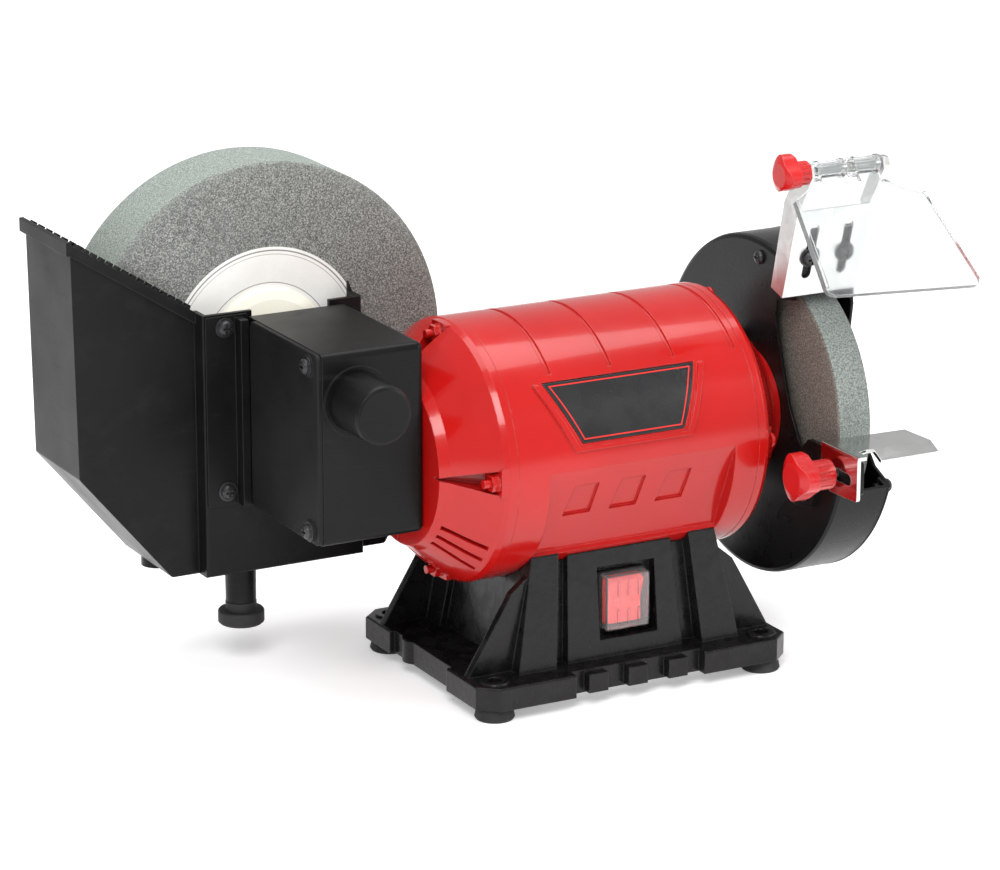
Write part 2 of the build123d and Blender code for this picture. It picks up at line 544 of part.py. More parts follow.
def gearbox_housing():
    s = bx(BOX_X0, BOX_X1, BOX_Y0, BOX_Y1, BOX_Z0, BOX_Z1)
    e = s.edges().filter_by(Axis.X) + [q for q in s.edges().filter_by(Axis.Y) if q.center().X > -110] + [q for q in s.edges().filter_by(Axis.Z) if q.center().X > -110]
    s = rnd(s, e, 3.6)
    s = s - bx(BOX_X0 - 1, BOX_X1 - 3.0, BOX_Y0 + 3.0, BOX_Y1 - 3.0, BOX_Z0 + 3.0, BOX_Z1 - 3.0)
    # bearing bosses
    s = s + cy(12.5, BOX_Y0 + 2.5, -16.0, WET_X, WET_Z) + cy(12.5, 44.0, BOX_Y1 - 2.5, WET_X, WET_Z)
    s = s + cy(8.8, BOX_Y0 + 2.5, -18.0, WET_X, IDLER_Z) + cy(8.8, 46.0, BOX_Y1 - 2.5, WET_X, IDLER_Z)
    s = s - cy(9.95, -40, 70, WET_X, WET_Z) - cy(6.45, -26.8, 55.8, WET_X, IDLER_Z)
    # motor shaft passage and register for the end bell
    s = s - cx(8.2, -112, -100)
    # screw bosses for the cover
    for y, z in GB_SCREWS:
        yy = (y, BOX_Y0 + 2.0)
        b = bx(BOX_X0, BOX_X0 + 16.0, BOX_Y0 + 2.0, y + 4.0, z - 4.5, z + 4.5) + cx(4.5, BOX_X0, BOX_X0 + 16.0, y, z)
        b = b + bx(BOX_X0, BOX_X0 + 16.0, y - 4.5, y + 4.5, *(sorted((z, BOX_Z1 - 2.0)) if z > 150 else sorted((BOX_Z0 + 2.0, z))))
        s = s + b
    for y, z in GB_SCREWS:
        s = s - cx(2.0, BOX_X0 - 1, BOX_X0 + 13.0, y, z)
    # rear rim flange that carries the two fixing screws into the trough
    fl = bx(-182.8, BOX_X0, 57.6, BOX_Y1 + 0.4, BOX_Z0, BOX_Z1 + 1.2)
    fl = rnd(fl, [q for q in fl.edges().filter_by(Axis.Y) if q.center().X < -170], 1.0)
    s = s + (fl + bx(-166.2, -161.9, 50.5, 57.8, BOX_Z0 + 0.3, BOX_Z1 - 0.3))
    s = s - bx(-161.85, BOX_X0, 40.0, 56.0, BOX_Z0 - 1, BOX_Z1 + 1)
    for x, z in MOUNT_SCREWS:
        s = s - cy(2.3, 50, 62, x, z)
    # oil fill plug hole on top and seam step for the cap
    s = s + (cy(18.2, BOX_Y0 - 1.2, BOX_Y0 + 1.0, WET_X, WET_Z) - cy(9.95, -40, 0, WET_X, WET_Z))
    # web joining the rear bearing boss through to the trough cut-out
    s = s - cy(9.95, 40, 70, WET_X, WET_Z)
    for y, z in BELL_SCREWS:
        s = s - cx(2.2, BOX_X1 - 6, BOX_X1 + 1, y, z)
    return s


def gearbox_cover():
    s = rbox_x(BOX_X0 - COVER_T, BOX_X0, BOX_Y0 + 0.4, 50.0, BOX_Z0 + 0.3, BOX_Z1 - 0.3, 4.5)
    s = rnd(s, s.faces().sort_by(Axis.X)[0].edges(), 0.7)
    for y, z in GB_SCREWS:
        s = s + cx(5.8, BOX_X0 - COVER_T - 0.8, BOX_X0 - COVER_T + 0.5, y, z)
        s = s - cx(2.3, -170, -150, y, z)
    s = s + (cx(10.0, BOX_X0 - 0.5, BOX_X0 + 6.2) - cx(7.05, BOX_X0 + 0.1, BOX_X0 + 10))
    return s


def gearbox_screws():
    out = []
    xs = BOX_X0 - COVER_T - 0.8
    for y, z in GB_SCREWS:
        out.append(cx(1.9, xs - 0.6, xs + 13.0, y, z) + (Pos(xs - 0.7, y, z) * Rot(0, -90, 0) * pan_head(3.9, 2.8)))
    for y, z in BELL_SCREWS:
        out.append(cx(2.1, BOX_X1 - 3.2, BOX_X1 + 5.0, y, z) + (Pos(BOX_X1 - 3.05, y, z) * Rot(0, -90, 0) * pan_head(3.9, 2.8)))
    for x, z in MOUNT_SCREWS:
        out.append(cy(2.1, 56.8, 66.0, x, z) + (Pos(x, 56.9, z) * Rot(90, 0, 0) * pan_head(3.9, 2.8)))
    return out


def gearbox_washers():
    out = []
    xs = BOX_X0 - COVER_T - 0.8
    for y, z in GB_SCREWS:
        out.append(cx(5.2, xs - 0.7, xs, y, z) - cx(2.1, xs - 3, xs + 3, y, z))
    for x, z in MOUNT_SCREWS:
        out.append(cy(5.2, 56.9, 57.6, x, z) - cy(2.2, 50, 60, x, z))
    return out


def shaft_cap():
    s = rev_y([(BOX_Y0 - 1.2, 15.6), (-58.6, 15.3), (-60.2, 14.6), (-60.9, 13.2), (-60.9, 0.0), (-58.9, 0.0), (-58.9, 13.4), (BOX_Y0 - 1.2, 13.4)])
    return s


# ================= water trough =================
TOP_L, TOP_S = (-250.8, 238.6), (-183.0, 195.3)


def trough_outline(d):
    """Outer outline in XZ for d = 0, inner for d = wall, open above."""
    return [(-250.8 + d, 300.0), (-248.4 + d, 115.0 + 0.45 * d), (-198.8 + 0.45 * d, TR_Z0 + d), (-76.0 - 0.5 * d, TR_Z0 + d), (-32.0 - d, 128.0 + 0.4 * d), (-32.0 - d, 300.0)]


def water_trough():
    t = TROUGH_T
    s = pr_xz(trough_outline(0), TR_Y0, TR_Y1)
    # top contour of the front and rear walls
    top = [(-260.0, TOP_L[1] + 5.9), TOP_L, TOP_S, (-104.0, 195.3), (-104.0, 204.0), (-97.0, 204.0), (-89.0, 184.0), (-70.0, 150.0), (-20.0, 150.0), (-20.0, 320.0), (-260.0, 320.0)]
    s = s - pr_xz(top, TR_Y0 - 1, TR_Y1 + 1)
    bump = bx(-183.4, -93.3, TR_BUMP_Y0, TR_Y0 + 1, TR_Z0, 195.3)
    bump = rnd(bump, [q for q in bump.edges().filter_by(Axis.Z) if q.center().Y < 62] + [q for q in bump.edges().filter_by(Axis.X) if q.center().Y < 62 and q.center().Z < 60], 1.6)
    s = s + bump
    s = rnd(s, [q for q in s.edges().filter_by(Axis.Y) if q.length > 40 and q.center().Z < 130], 2.2)
    s = s - pr_xz(trough_outline(t), TR_Y0 + t, TR_Y1 - t)
    s = s - bx(-183.4 + t, -93.3 - t, TR_BUMP_Y0 + t, TR_Y0 + t + 1, TR_Z0 + t, 260.0)
    # shaft cut-out through the front wall
    cut = bx(-156.0, -112.0, TR_BUMP_Y0 - 2, TR_BUMP_Y0 + 6, 150.0, 260.0)
    cut = rnd(cut, [q for q in cut.edges().filter_by(Axis.Y) if q.center().Z < 160], 8.0)
    s = s - cut - cy(24.0, TR_BUMP_Y0 - 2, TR_BUMP_Y0 + 6, WET_X, WET_Z)
    # matching slot in the rear wall so the wheel and its nut lift out
    cut = bx(WET_X - 21.0, WET_X + 21.0, TR_Y1 - t - 2, TR_Y1 + 3, 147.0, 260.0)
    s = s - rnd(cut, [q for q in cut.edges().filter_by(Axis.Y) if q.center().Z < 160], 10.0)
    # rolled lips outside the sloping top edges and round the left end
    ux, uz = TOP_S[0] - TOP_L[0], TOP_S[1] - TOP_L[1]
    L = math.hypot(ux, uz)
    ux, uz = ux / L, uz / L
    lip = [TOP_L, TOP_S, (TOP_S[0], TOP_S[1] - 6.0), (TOP_L[0], TOP_L[1] - 6.0)]
    for y0, y1 in ((TR_Y0 - 1.8, TR_Y0 + 0.1), (TR_Y1 - 0.1, TR_Y1 + 1.8)):
        s = s + pr_xz(lip, y0, y1)
    s = s + bx(TOP_L[0] - 1.8, TOP_L[0] + 0.5, TR_Y0 - 1.8, TR_Y1 + 1.8, TOP_L[1] - 6.0, TOP_L[1] + 1.0)
    # serrated drip teeth along both sloping edges
    nteeth = 15
    for k in range(nteeth):
        u = 3.0 + (L - 6.0) * (k + 0.5) / nteeth
        px, pz = TOP_L[0] + ux * u, TOP_L[1] + uz * u
        nx, nz = -uz, ux           # normal, pointing up
        w = 1.3
        v = [(px - ux * w * 1.25 - nx * 0.6, pz - uz * w * 1.25 - nz * 0.6), (px + ux * w * 1.25 - nx * 0.6, pz + uz * w * 1.25 - nz * 0.6),
             (px + ux * w * 0.8 + nx * 1.9, pz + uz * w * 0.8 + nz * 1.9), (px - ux * w * 0.8 + nx * 1.9, pz - uz * w * 0.8 + nz * 1.9)]
        for y0, y1 in ((TR_Y0 - 1.75, TR_Y0 + t - 0.1), (TR_Y1 - t + 0.1, TR_Y1 + 1.75)):
            s = s + pr_xz(v, y0, y1)
    # fixing pads behind the gearbox flange
    for x, z in MOUNT_SCREWS:
        s = s + (cy(5.0, TR_BUMP_Y0, TR_BUMP_Y0 + 7.0, x, z))
        s = s - cy(2.15, TR_BUMP_Y0 - 1, TR_BUMP_Y0 + 6.9, x, z)
    # drain spout and rear stub below the floor
    s = s + rev_z([(TR_Z0 + 1, 0.0), (TR_Z0 + 1, 9.2), (TR_Z0 - 2.0, 8.2), (34.0, 8.0), (34.0, 0.0)], -156.0, 79.0)
    s = s - cz(5.5, 30.0, TR_Z0 + t + 1, -156.0, 79.0)
    s = s + cz(9.0, 49.0, TR_Z0 + 1, -188.0, 113.0)
    s = s - cz(6.5, 48.0, TR_Z0 - 0.5, -188.0, 113.0)
    return s


def drain_plug():
    s = rev_z([(33.7, 8.2), (29.5, 8.2), (29.0, 11.6), (28.2, 12.2), (22.6, 12.2), (21.6, 11.2), (21.6, 0.0), (47.0, 0.0), (47.0, 4.6), (44.5, 5.35), (33.7, 5.4)], -156.0, 79.0)
    return s


# ================= wheels =================
def stone(r, x0, x1, bore):
    return [(x0, bore), (x0, r - 0.8), (x0 + 0.8, r), (x1 - 0.8, r), (x1, r - 0.8), (x1, bore)]


def wet_wheel():
    return rev_y(stone(WET_R, WET_Y0, WET_Y1, WET_BORE))


def wet_labels():
    a = rev_y([(WET_Y0 - 0.35, WET_BORE), (WET_Y0 - 0.35, 55.5), (WET_Y0, 55.5), (WET_Y0, WET_BORE)])
    b = rev_y([(WET_Y1, WET_BORE), (WET_Y1, 55.5), (WET_Y1 + 0.35, 55.5), (WET_Y1 + 0.35, WET_BORE)])
    return [a, b]


def wet_inner_flange():
    return rev_y([(WET_Y0 - 0.35, WET_BORE), (WET_Y0 - 0.35, 34.0), (WET_Y0 - 1.6, 34.4), (WET_Y0 - 3.4, 33.0), (WET_Y0 - 5.6, 29.0), (WET_Y0 - 7.6, 22.0), (WET_Y0 - 8.6, 15.0), (WET_Y0 - 9.6, 13.0), (WET_Y0 - 12.0, 12.6), (WET_Y0 - 12.0, WET_BORE)])


def wet_outer_flange():
    return rev_y([(WET_Y1 + 0.35, WET_BORE), (WET_Y1 + 0.35, 34.0), (WET_Y1 + 2.2, 34.4), (WET_Y1 + 4.4, 33.0), (WET_Y1 + 6.0, 28.0), (WET_Y1 + 7.4, 18.0), (WET_Y1 + 7.8, WET_BORE)])


def wet_nut():
    s = hex_y(12.5, 123.0, 134.0, WET_X, WET_Z) + cy(16.0, 122.9, 125.4, WET_X, WET_Z)
    s = s & rev_y([(122.8, 0.0), (122.8, 17.0), (132.0, 15.0), (134.2, 12.6), (134.2, 0.0)])
    return s - cy(8.0, 124.0, 140, WET_X, WET_Z) - cy(WET_BORE, 120, 124.01, WET_X, WET_Z)


def dry_wheel():
    return rev_x(stone(DRY_R, DRY_X0, DRY_X1, DRY_BORE))


def dry_inner_flange():
    return rev_x([(110.0, DRY_BORE), (110.0, 14.0), (111.6, 22.0), (112.2, 25.0), (113.6, 25.0), (113.6, 21.0), (112.9, 20.0), (112.9, DRY_BORE)])


def dry_blotters():
    return [rev_x([(113.6, 20.0), (113.6, 26.0), (114.0, 26.0), (114.0, 20.0)]), rev_x([(134.0, 20.0), (134.0, 26.0), (134.4, 26.0), (134.4, 20.0)])]


def dry_outer_flange():
    return rev_x([(138.0, DRY_BORE), (138.0, 13.0), (136.4, 22.0), (135.8, 25.0), (134.4, 25.0), (134.4, 21.0), (135.1, 20.0), (135.1, DRY_BORE)])


def dry_nut():
    s = hex_x(9.5, 138.0, 144.5, 0, H) & rev_x([(137.9, 0.0), (137.9, 11.2), (143.6, 11.2), (144.6, 9.6), (144.6, 0.0)])
    return s - cx(DRY_BORE, 130, 143.2) - cx(DRY_BORE - 0.9, 143.0, 150)


# ================= wheel guard =================
# region cut away in front (y, z)
CUT = [(-44.5, 260.0), (-44.5, 192.0), (-24.6, 188.0), (-23.8, 180.0), (-27.6, 167.0), (-32.0, 153.6), (-39.3, 134.0), (-50.0, 117.0), (-68.0, 104.5), (-88.0, 98.0), (-150.0, 88.0), (-150.0, 260.0)]
LIPCUT = [(-45.3, 260.0), (-45.3, 150.0), (-60.0, 108.0), (-88.0, 98.0), (-150.0, 88.0), (-150.0, 260.0)]
RIMCUT = [(-47.6, 260.0), (-47.6, 150.0), (-60.0, 108.0), (-88.0, 98.0), (-150.0, 88.0), (-150.0, 260.0)]
GUARD_SCREWS = tuple((80.0 * math.cos(math.radians(a)), H + 80.0 * math.sin(math.radians(a))) for a in (96.0, 12.0, -60.0, 200.0))


def guard_shell():
    t = GUARD_T
    s = rev_x([(GUARD_X0, 10.0), (GUARD_X0, GUARD_R - 2.5), (GUARD_X0 + 0.9, GUARD_R - 0.6), (GUARD_X0 + 2.6, GUARD_R), (GUARD_X1, GUARD_R), (GUARD_X1, GUARD_R - t), (GUARD_X0 + 2.8, GUARD_R - t), (GUARD_X0 + t, GUARD_R - 3.0), (GUARD_X0 + t, 10.0)])
    s = s - pr_yz(CUT, GUARD_X0 - 1, GUARD_X0 + 3.2)
    s = s - pr_yz(RIMCUT, GUARD_X0 + 3.0, GUARD_X1 + 1)
    # return lip at the outer edge of the rim for the side cover
    lip = rev_x([(GUARD_X1 - t, GUARD_R - t - 7.0), (GUARD_X1 - t, GUARD_R), (GUARD_X1, GUARD_R), (GUARD_X1, GUARD_R - t - 7.0)])
    s = s + (lip - pr_yz(LIPCUT, GUARD_X0, GUARD_X1 + 1))
    # tab behind the spark deflector
    def yf(z, off):
        return -48.0 - (z - 196.0) * 13.0 / 47.0 + off
    tab = pr_yz([(yf(201.2, 1.9), 201.2), (yf(232.0, 1.9), 232.0), (yf(232.0, 4.0), 232.0), (yf(201.2, 4.0), 201.2)], 101.5, 136.0)
    tab = tab - bx(100, 140, -80, 0, 190, 201.25)
    s = s + tab
    s = s + (bx(GUARD_X0, GUARD_X0 + t, -45.9, -40.0, 196.5, 206.0) & cx(GUARD_R, 100, 110))
    for x in DEF_X:
        s = s - ROT_DEF(x, 2.4, 8.0)
    for y, z in GUARD_SCREWS:
        s = s - cx(1.8, GUARD_X1 - 3, GUARD_X1 + 2, y * 1.06, H + (z - H) * 1.06)
    for k in range(3):
        a = math.radians(90 + 120 * k)
        s = s - cx(2.6, 100, 110, 27.0 * math.cos(a), H + 27.0 * math.sin(a))
    for y, z in STRUT_SCREWS + FACE_SCREWS:
        s = s - cx(2.1, 100, 110, y, z)
    s = s - cx(15.0, 100, 110)
    return s


DEF_X = (107.0, 127.7)
DEF_Z = 217.5


def ROT_DEF(x, r, l):
    """Short cylinder along the deflector's normal through a screw position."""
    y = -48.0 - (DEF_Z - 196.0) * 13.0 / 47.0
    tilt = math.degrees(math.atan2(13.0, 47.0))
    return Pos(x, y, DEF_Z) * Rot(90 + tilt, 0, 0) * Cylinder(r, 2 * l)


def place_def(shape, x, depth):
    """Puts a part whose +Z is its outward (front) direction on the deflector's front face."""
    y = -48.0 - (DEF_Z - 196.0) * 13.0 / 47.0
    tilt = math.degrees(math.atan2(13.0, 47.0))
    return Pos(x, y, DEF_Z) * Rot(90 + tilt, 0, 0) * Pos(0, 0, depth) * shape


STRUT_SCREWS = ((-50.0, 97.5), (-60.0, 92.0))


def guard_side_cover():
    s = rev_x([(GUARD_X1, 0.0), (GUARD_X1, GUARD_R + 0.2), (GUARD_X1 + 0.9, GUARD_R + 0.2), (GUARD_X1 + 2.2, GUARD_R - 2.0), (GUARD_X1 + 5.0, 60.0), (GUARD_X1 + 9.5, 40.0), (GUARD_X1 + 13.0, 30.0), (GUARD_X1 + 13.0, 0.0)])
    s = s - rev_x([(GUARD_X1 - 1, 0.0), (GUARD_X1 - 1, GUARD_R - 5.0), (GUARD_X1 + 0.7, GUARD_R - 5.0), (GUARD_X1 + 3.5, 60.0), (GUARD_X1 + 8.0, 40.0), (GUARD_X1 + 11.4, 30.0), (GUARD_X1 + 11.4, 0.0)])
    s = s - pr_yz([(-44.0, 260.0), (-44.0, 186.0), (-40.0, 172.0), (-46.0, 140.0), (-60.0, 112.0), (-68.6, 104.4), (-88.0, 98.0), (-150.0, 88.0), (-150.0, 260.0)], GUARD_X1 - 1, GUARD_X1 + 20)
    for y, z in GUARD_SCREWS:
        s = s - cx(2.2, GUARD_X1 - 1, GUARD_X1 + 6, y * 1.06, H + (z - H) * 1.06)
    return s


def guard_cover_screws():
    out = []
    for y, z in GUARD_SCREWS:
        yy, zz = y * 1.06, H + (z - H) * 1.06
        out.append(cx(1.75, GUARD_X1 - 4.0, GUARD_X1 + 3.3, yy, zz) + (Pos(GUARD_X1 + 3.1, yy, zz) * Rot(0, 90, 0) * pan_head(3.6, 2.4)))
    return out


FACE_SCREWS = ((-8.1, 207.4), (9.3, 160.9))


def guard_mount_screws():
    out = []
    for y, z in FACE_SCREWS:
        out.append(cx(1.95, 105.0, 110.8, y, z) + (Pos(106.0, y, z) * Rot(0, -90, 0) * pan_head(3.8, 2.4)) + hex_x(3.4, 107.6, 110.2, y, z))
    for k in range(3):
        a = math.radians(90 + 120 * k)
        y, z = 27.0 * math.cos(a), H + 27.0 * math.sin(a)
        out.append(cx(1.95, 97.0, 107.7, y, z) + (Pos(107.6, y, z) * Rot(0, 90, 0) * pan_head(3.6, 2.0)))
    return out


# ================= spark deflector and eye shield =================
def deflector_bracket():
    def yf(z, off):
        return -48.0 - (z - 196.0) * 13.0 / 47.0 + off
    zb, zt2 = 195.6, 243.2
    plate = pr_yz([(yf(zb, 0), zb), (yf(zt2, 0), zt2), (yf(zt2, 1.56), zt2), (yf(zb, 1.56), zb)], 95.0, 139.5)
    # left side flange running back and up to the hinge
    fl = pr_yz([(yf(zb, 0), zb), (yf(zt2, 0), zt2), (ROD_Y - 5.5, ROD_Z - 2.0), (ROD_Y - 4.0, ROD_Z + 4.5), (ROD_Y + 4.0, ROD_Z + 5.0), (yf(zt2, 13.0), zt2 + 4.0), (yf(199.0, 12.0), 199.0)], 95.0, 96.5)
    ear = pr_yz([(yf(zt2 - 8, 0), zt2 - 8), (yf(zt2, 0), zt2), (ROD_Y - 5.5, ROD_Z - 2.0), (ROD_Y - 4.0, ROD_Z + 4.5), (ROD_Y + 4.0, ROD_Z + 4.5), (ROD_Y + 5.5, ROD_Z - 2.0), (yf(zt2, 9.0), zt2), (yf(zt2 - 8, 1.56), zt2 - 8)], 138.0, 139.5)
    s = plate + fl + ear
    for x in DEF_X:
        tilt = math.degrees(math.atan2(13.0, 47.0))
        y = -48.0 - (DEF_Z - 196.0) * 13.0 / 47.0
        slot = Box(5.4, 25.0, 12.0) + Pos(0, 12.5, 0) * Cylinder(2.7, 12.0) + Pos(0, -12.5, 0) * Cylinder(2.7, 12.0)
        s = s - (Pos(x, y, DEF_Z) * Rot(90 + tilt, 0, 0) * Pos(0, 2.6, 0) * slot)
    s = s - cx(2.7, 90, 145, ROD_Y, ROD_Z)
    return s


def deflector_screws():
    out = []
    for x in DEF_X:
        # washer and head in front of the plate, shank through the tab, nut behind
        w = Pos(0, 0, 0.45) * Cylinder(5.4, 0.8)
        h = Pos(0, 0, 0.8) * pan_head(4.4, 3.2)
        sh = Pos(0, 0, -5.0) * Cylinder(2.35, 11.0)
        n = Pos(0, 0, -4.05) * Rot(180, 0, 0) * extrude(poly([(u, v, 0) for u, v in hexpts(4.0)]), amount=3.4)
        out.append(place_def(w + h + sh + n, x, 0.0))
    return out


SH = [(79.5, -17.3), (94.4, -8.8), (134.5, -10.9), (155.6, -20.9), (164.6, -75.6), (163.6, -77.6), (161.6, -78.4), (81.4, -73.4), (78.6, -72.9), (76.4, -71.4), (75.3, -68.6)]


def eye_shield():
    s = extrude(poly([(x, 0.2, z) for x, z in SH]), amount=2.6, dir=(0, -1, 0))
    # thickened rim down both sides and across the shoulders
    for (x0, z0), (x1, z1) in (((79.5, -17.3), (75.3, -68.6)), ((155.6, -20.9), (164.6, -75.6)), ((134.5, -10.9), (155.6, -20.9))):
        w = Vector(x1 - x0, 0, z1 - z0).normalized()
        n = Vector(-w.Z, 0, w.X)
        cxm, czm = (79.5 + 164.6) / 2, -45.0
        if n.X * (cxm - x0) + n.Z * (czm - z0) < 0:
            n = n * -1
        q = [(x0, z0), (x1, z1), (x1 + n.X * 1.8, z1 + n.Z * 1.8), (x0 + n.X * 1.8, z0 + n.Z * 1.8)]
        s = s + extrude(poly([(x, -2.3, z) for x, z in q]), amount=1.2, dir=(0, -1, 0))
    for x0, x1 in ((98.6, 115.8), (120.8, 136.2)):
        s = s + cx(4.6, x0, x1, 0, 0)
        s = s + bx(x0 + 1.5, x1 - 1.5, -2.4, 0.2, -13.0, -2.0)
        for xa in (x0, x1 - 2.2):
            s = s + cx(5.4, xa, xa + 2.2, 0, 0)
        s = s - cx(2.62, x0 - 1, x1 + 1, 0, 0)
    return Pos(0, ROD_Y, ROD_Z) * Rot(-SHIELD_TILT, 0, 0) * s


def lobe_knob(r, t, neck_r, neck_l):
    """Three-lobe knob, axis +Z: neck from z = 0 upwards, lobes on top."""
    pts = []
    for i in range(72):
        a = 2 * math.pi * i / 72
        q = r * (0.85 + 0.15 * math.cos(3 * a) + 0.015 * math.cos(6 * a))
        pts.append((q * math.cos(a), q * math.sin(a), neck_l))
    lobes = extrude(poly(pts), amount=t)
    dome = revolve(poly([(0, 0, neck_l - 1), (r * 0.72, 0, neck_l - 1), (r * 1.2, 0, neck_l + t * 0.3), (r * 1.2, 0, neck_l + t * 0.62), (r * 0.55, 0, neck_l + t + 0.2), (0, 0, neck_l + t + 0.2)]), axis=Axis.Z, revolution_arc=360)
    s = lobes & dome
    neck = Pos(0, 0, neck_l / 2 + 0.5) * Cylinder(neck_r, neck_l + 1)
    for k in range(14):
        neck = neck - Rot(0, 0, 360 / 14 * k) * Pos(neck_r + 0.25, 0, neck_l / 2 + 1.2) * Cylinder(0.75, neck_l)
    return s + neck


def shield_knob():
    k = lobe_knob(10.5, 9.0, 6.2, 7.0)
    return Pos(94.4, ROD_Y, ROD_Z) * Rot(0, -90, 0) * Rot(0, 0, 20) * (k - Pos(0, 0, 3) * Cylinder(2.5, 12.0))


def shield_rod():
    return cx(2.5, 86.0, 143.0, ROD_Y, ROD_Z)


def shield_rod_nut():
    return hex_x(4.0, 139.6, 142.6, ROD_Y, ROD_Z) - cx(2.56, 130, 150, ROD_Y, ROD_Z)


# ================= tool rest =================
def tool_rest():
    t = 2.0
    zt_ = REST_Z
    leg = pr_yz([(-113.2, 102.2), (-113.2, zt_), (-78.7, zt_), (-79.5, 112.0), (-88.0, 101.6)], REST_X0, REST_X0 + t)
    leg = rnd(leg, [q for q in leg.edges().filter_by(Axis.X) if q.center().Z < 105], 2.0)
    table = pr_xy([(REST_X0, -78.7), (REST_X1, -80.8), (REST_X1 + 1.1, -103.6), (113.0, -102.6), (107.6, -104.2), (106.4, -113.2), (REST_X0, -113.2)], zt_ - t, zt_)
    # front lip bent down and outwards
    lip = pr_yz([(-102.6, zt_), (-103.8, zt_), (-111.4, zt_ - 3.9), (-110.5, zt_ - 5.7), (-103.2, zt_ - 2.0), (-102.6, zt_ - 2.0)], 116.6, REST_X1 + 0.8)
    lip = rnd(lip, [q for q in lip.edges() if q.center().Y < -110.8 and q.length < 3], 0.8)
    s = leg + table + lip
    e = [q for q in s.edges().filter_by(Axis.Y) if abs(q.center().X - REST_X0) < 0.1 and q.center().Z > zt_ - 0.5]
    s = rnd(s, e, 1.8)
    slot = bx(REST_X0 - 1, REST_X0 + t + 0.5, -104.5, -87.0, 109.2, 115.2) + cx(3.0, REST_X0 - 1, REST_X0 + t + 0.5, -104.5, 112.2) + cx(3.0, REST_X0 - 1, REST_X0 + t + 0.5, -87.0, 112.2)
    return s - slot


REST_BOLT_Y, REST_BOLT_Z = -90.8, 112.2


def rest_strut():
    s = pr_yz([(-44.0, 88.0), (-44.0, 104.0), (-63.0, 122.6), (-112.0, 122.6), (-112.0, 105.0), (-74.0, 105.0), (-66.0, 86.0), (-52.0, 84.0)], 103.2, 105.9)
    s = rnd(s, [q for q in s.edges().filter_by(Axis.X)], 2.0)
    s = s - cx(2.05, 100, 110, REST_BOLT_Y, REST_BOLT_Z)
    for y, z in STRUT_SCREWS:
        s = s - cx(2.1, 100, 110, y, z)
    return s


def strut_screws():
    out = []
    for y, z in STRUT_SCREWS:
        out.append(cx(2.0, 101.0, 111.2, y, z) + (Pos(103.2, y, z) * Rot(0, -90, 0) * pan_head(3.8, 2.4)) + hex_x(3.4, 107.7, 110.2, y, z))
    return out


def rest_knob():
    k = lobe_knob(13.6, 10.5, 7.8, 12.0)
    return Pos(98.2, REST_BOLT_Y, REST_BOLT_Z) * Rot(0, -90, 0) * Rot(0, 0, 35) * (k - Pos(0, 0, 6) * Cylinder(2.5, 20.0))


def rest_bolt():
    return cx(2.5, 83.0, 103.1, REST_BOLT_Y, REST_BOLT_Z) + cx(1.97, 103.0, 108.5, REST_BOLT_Y, REST_BOLT_Z)




# ================= switch, capacitor, gland =================
SW_X, SW_Z = 2.5, 47.0


def switch_body():
    bez = bx(SW_X - 14.5, SW_X + 14.5, -45.2, -43.0, SW_Z - 15.5, SW_Z + 15.5)
    bez = rnd(bez, bez.edges().filter_by(Axis.Y), 2.0)
    body = bx(SW_X - 12.4, SW_X + 12.4, -43.05, -24.0, SW_Z - 13.4, SW_Z + 13.4)
    s = bez + body
    s = s - bx(SW_X - 10.4, SW_X + 10.4, -46.0, -36.0, SW_Z - 12.6, SW_Z + 12.6)
    for x in (SW_X - 8.0, SW_X + 8.0):
        for z in (SW_Z - 7.0, SW_Z + 7.0):
            s = s + bx(x - 2.4, x + 2.4, -24.1, -17.0, z - 0.4, z + 0.4)
    return s


def switch_rocker():
    pv = (-44.0, SW_Z)
    pts = [(-49.6, SW_Z + 12.0), (-47.9, SW_Z), (-49.6, SW_Z - 12.0), (-43.0, SW_Z - 12.0), (-39.8, SW_Z - 5.0), (-39.2, SW_Z), (-39.8, SW_Z + 5.0), (-43.0, SW_Z + 12.0)]
    s = pr_yz(pts, SW_X - 9.9, SW_X + 9.9)
    s = rnd(s, [q for q in s.edges() if q.center().Y < -47.5], 0.6)
    s = Pos(0, pv[0], pv[1]) * Rot(7.0, 0, 0) * Pos(0, -pv[0], -pv[1]) * s
    s = s - cx(1.2, SW_X - 11, SW_X + 11, pv[0], pv[1])
    return s




def switch_cover():
    o = bx(SW_X - 13.0, SW_X + 13.0, -53.2, -45.2, SW_Z - 15.0, SW_Z + 15.0)
    o = rnd(o, [q for q in o.edges() if q.center().Y < -50 or abs(q.center().Y + 49.2) < 0.2], 1.8)
    i = bx(SW_X - 11.8, SW_X + 11.8, -52.2, -45.0, SW_Z - 14.0, SW_Z + 14.0)
    s = o - i
    for x in (-6.0, 0.0, 6.0):
        for z in (7.5, -7.5):
            s = s + bx(SW_X + x - 0.7, SW_X + x + 0.7, -53.8, -53.0, SW_Z + z - 4.0, SW_Z + z + 4.0)
    return s


def capacitor():
    s = cx(14.0, -34.0, 22.0, 18.0, 26.0)
    s = rnd(s, s.edges(), 1.5)
    return s + cx(3.0, 21.5, 26.0, 18.0, 26.0)


def cord_gland():
    s = cy(7.9, 36.0, 53.0, 0.0, 42.0) + (cy(10.5, 52.9, 57.0, 0.0, 42.0)) + cy(10.0, 34.0, 36.2, 0.0, 42.0)
    s = rnd(s, [q for q in s.edges() if q.center().Y > 56.9], 1.2)
    return s - cy(4.2, 30, 60, 0.0, 42.0)


def mount_screws():
    out = []
    for x in (-48.0, 50.0):
        for sy in (-1, 1):
            out.append(cz(2.05, 50.0, 72.6, x, sy * 38.0) + Pos(x, sy * 38.0, 51.9) * Rot(180, 0, 0) * pan_head(4.4, 3.0))
    return out


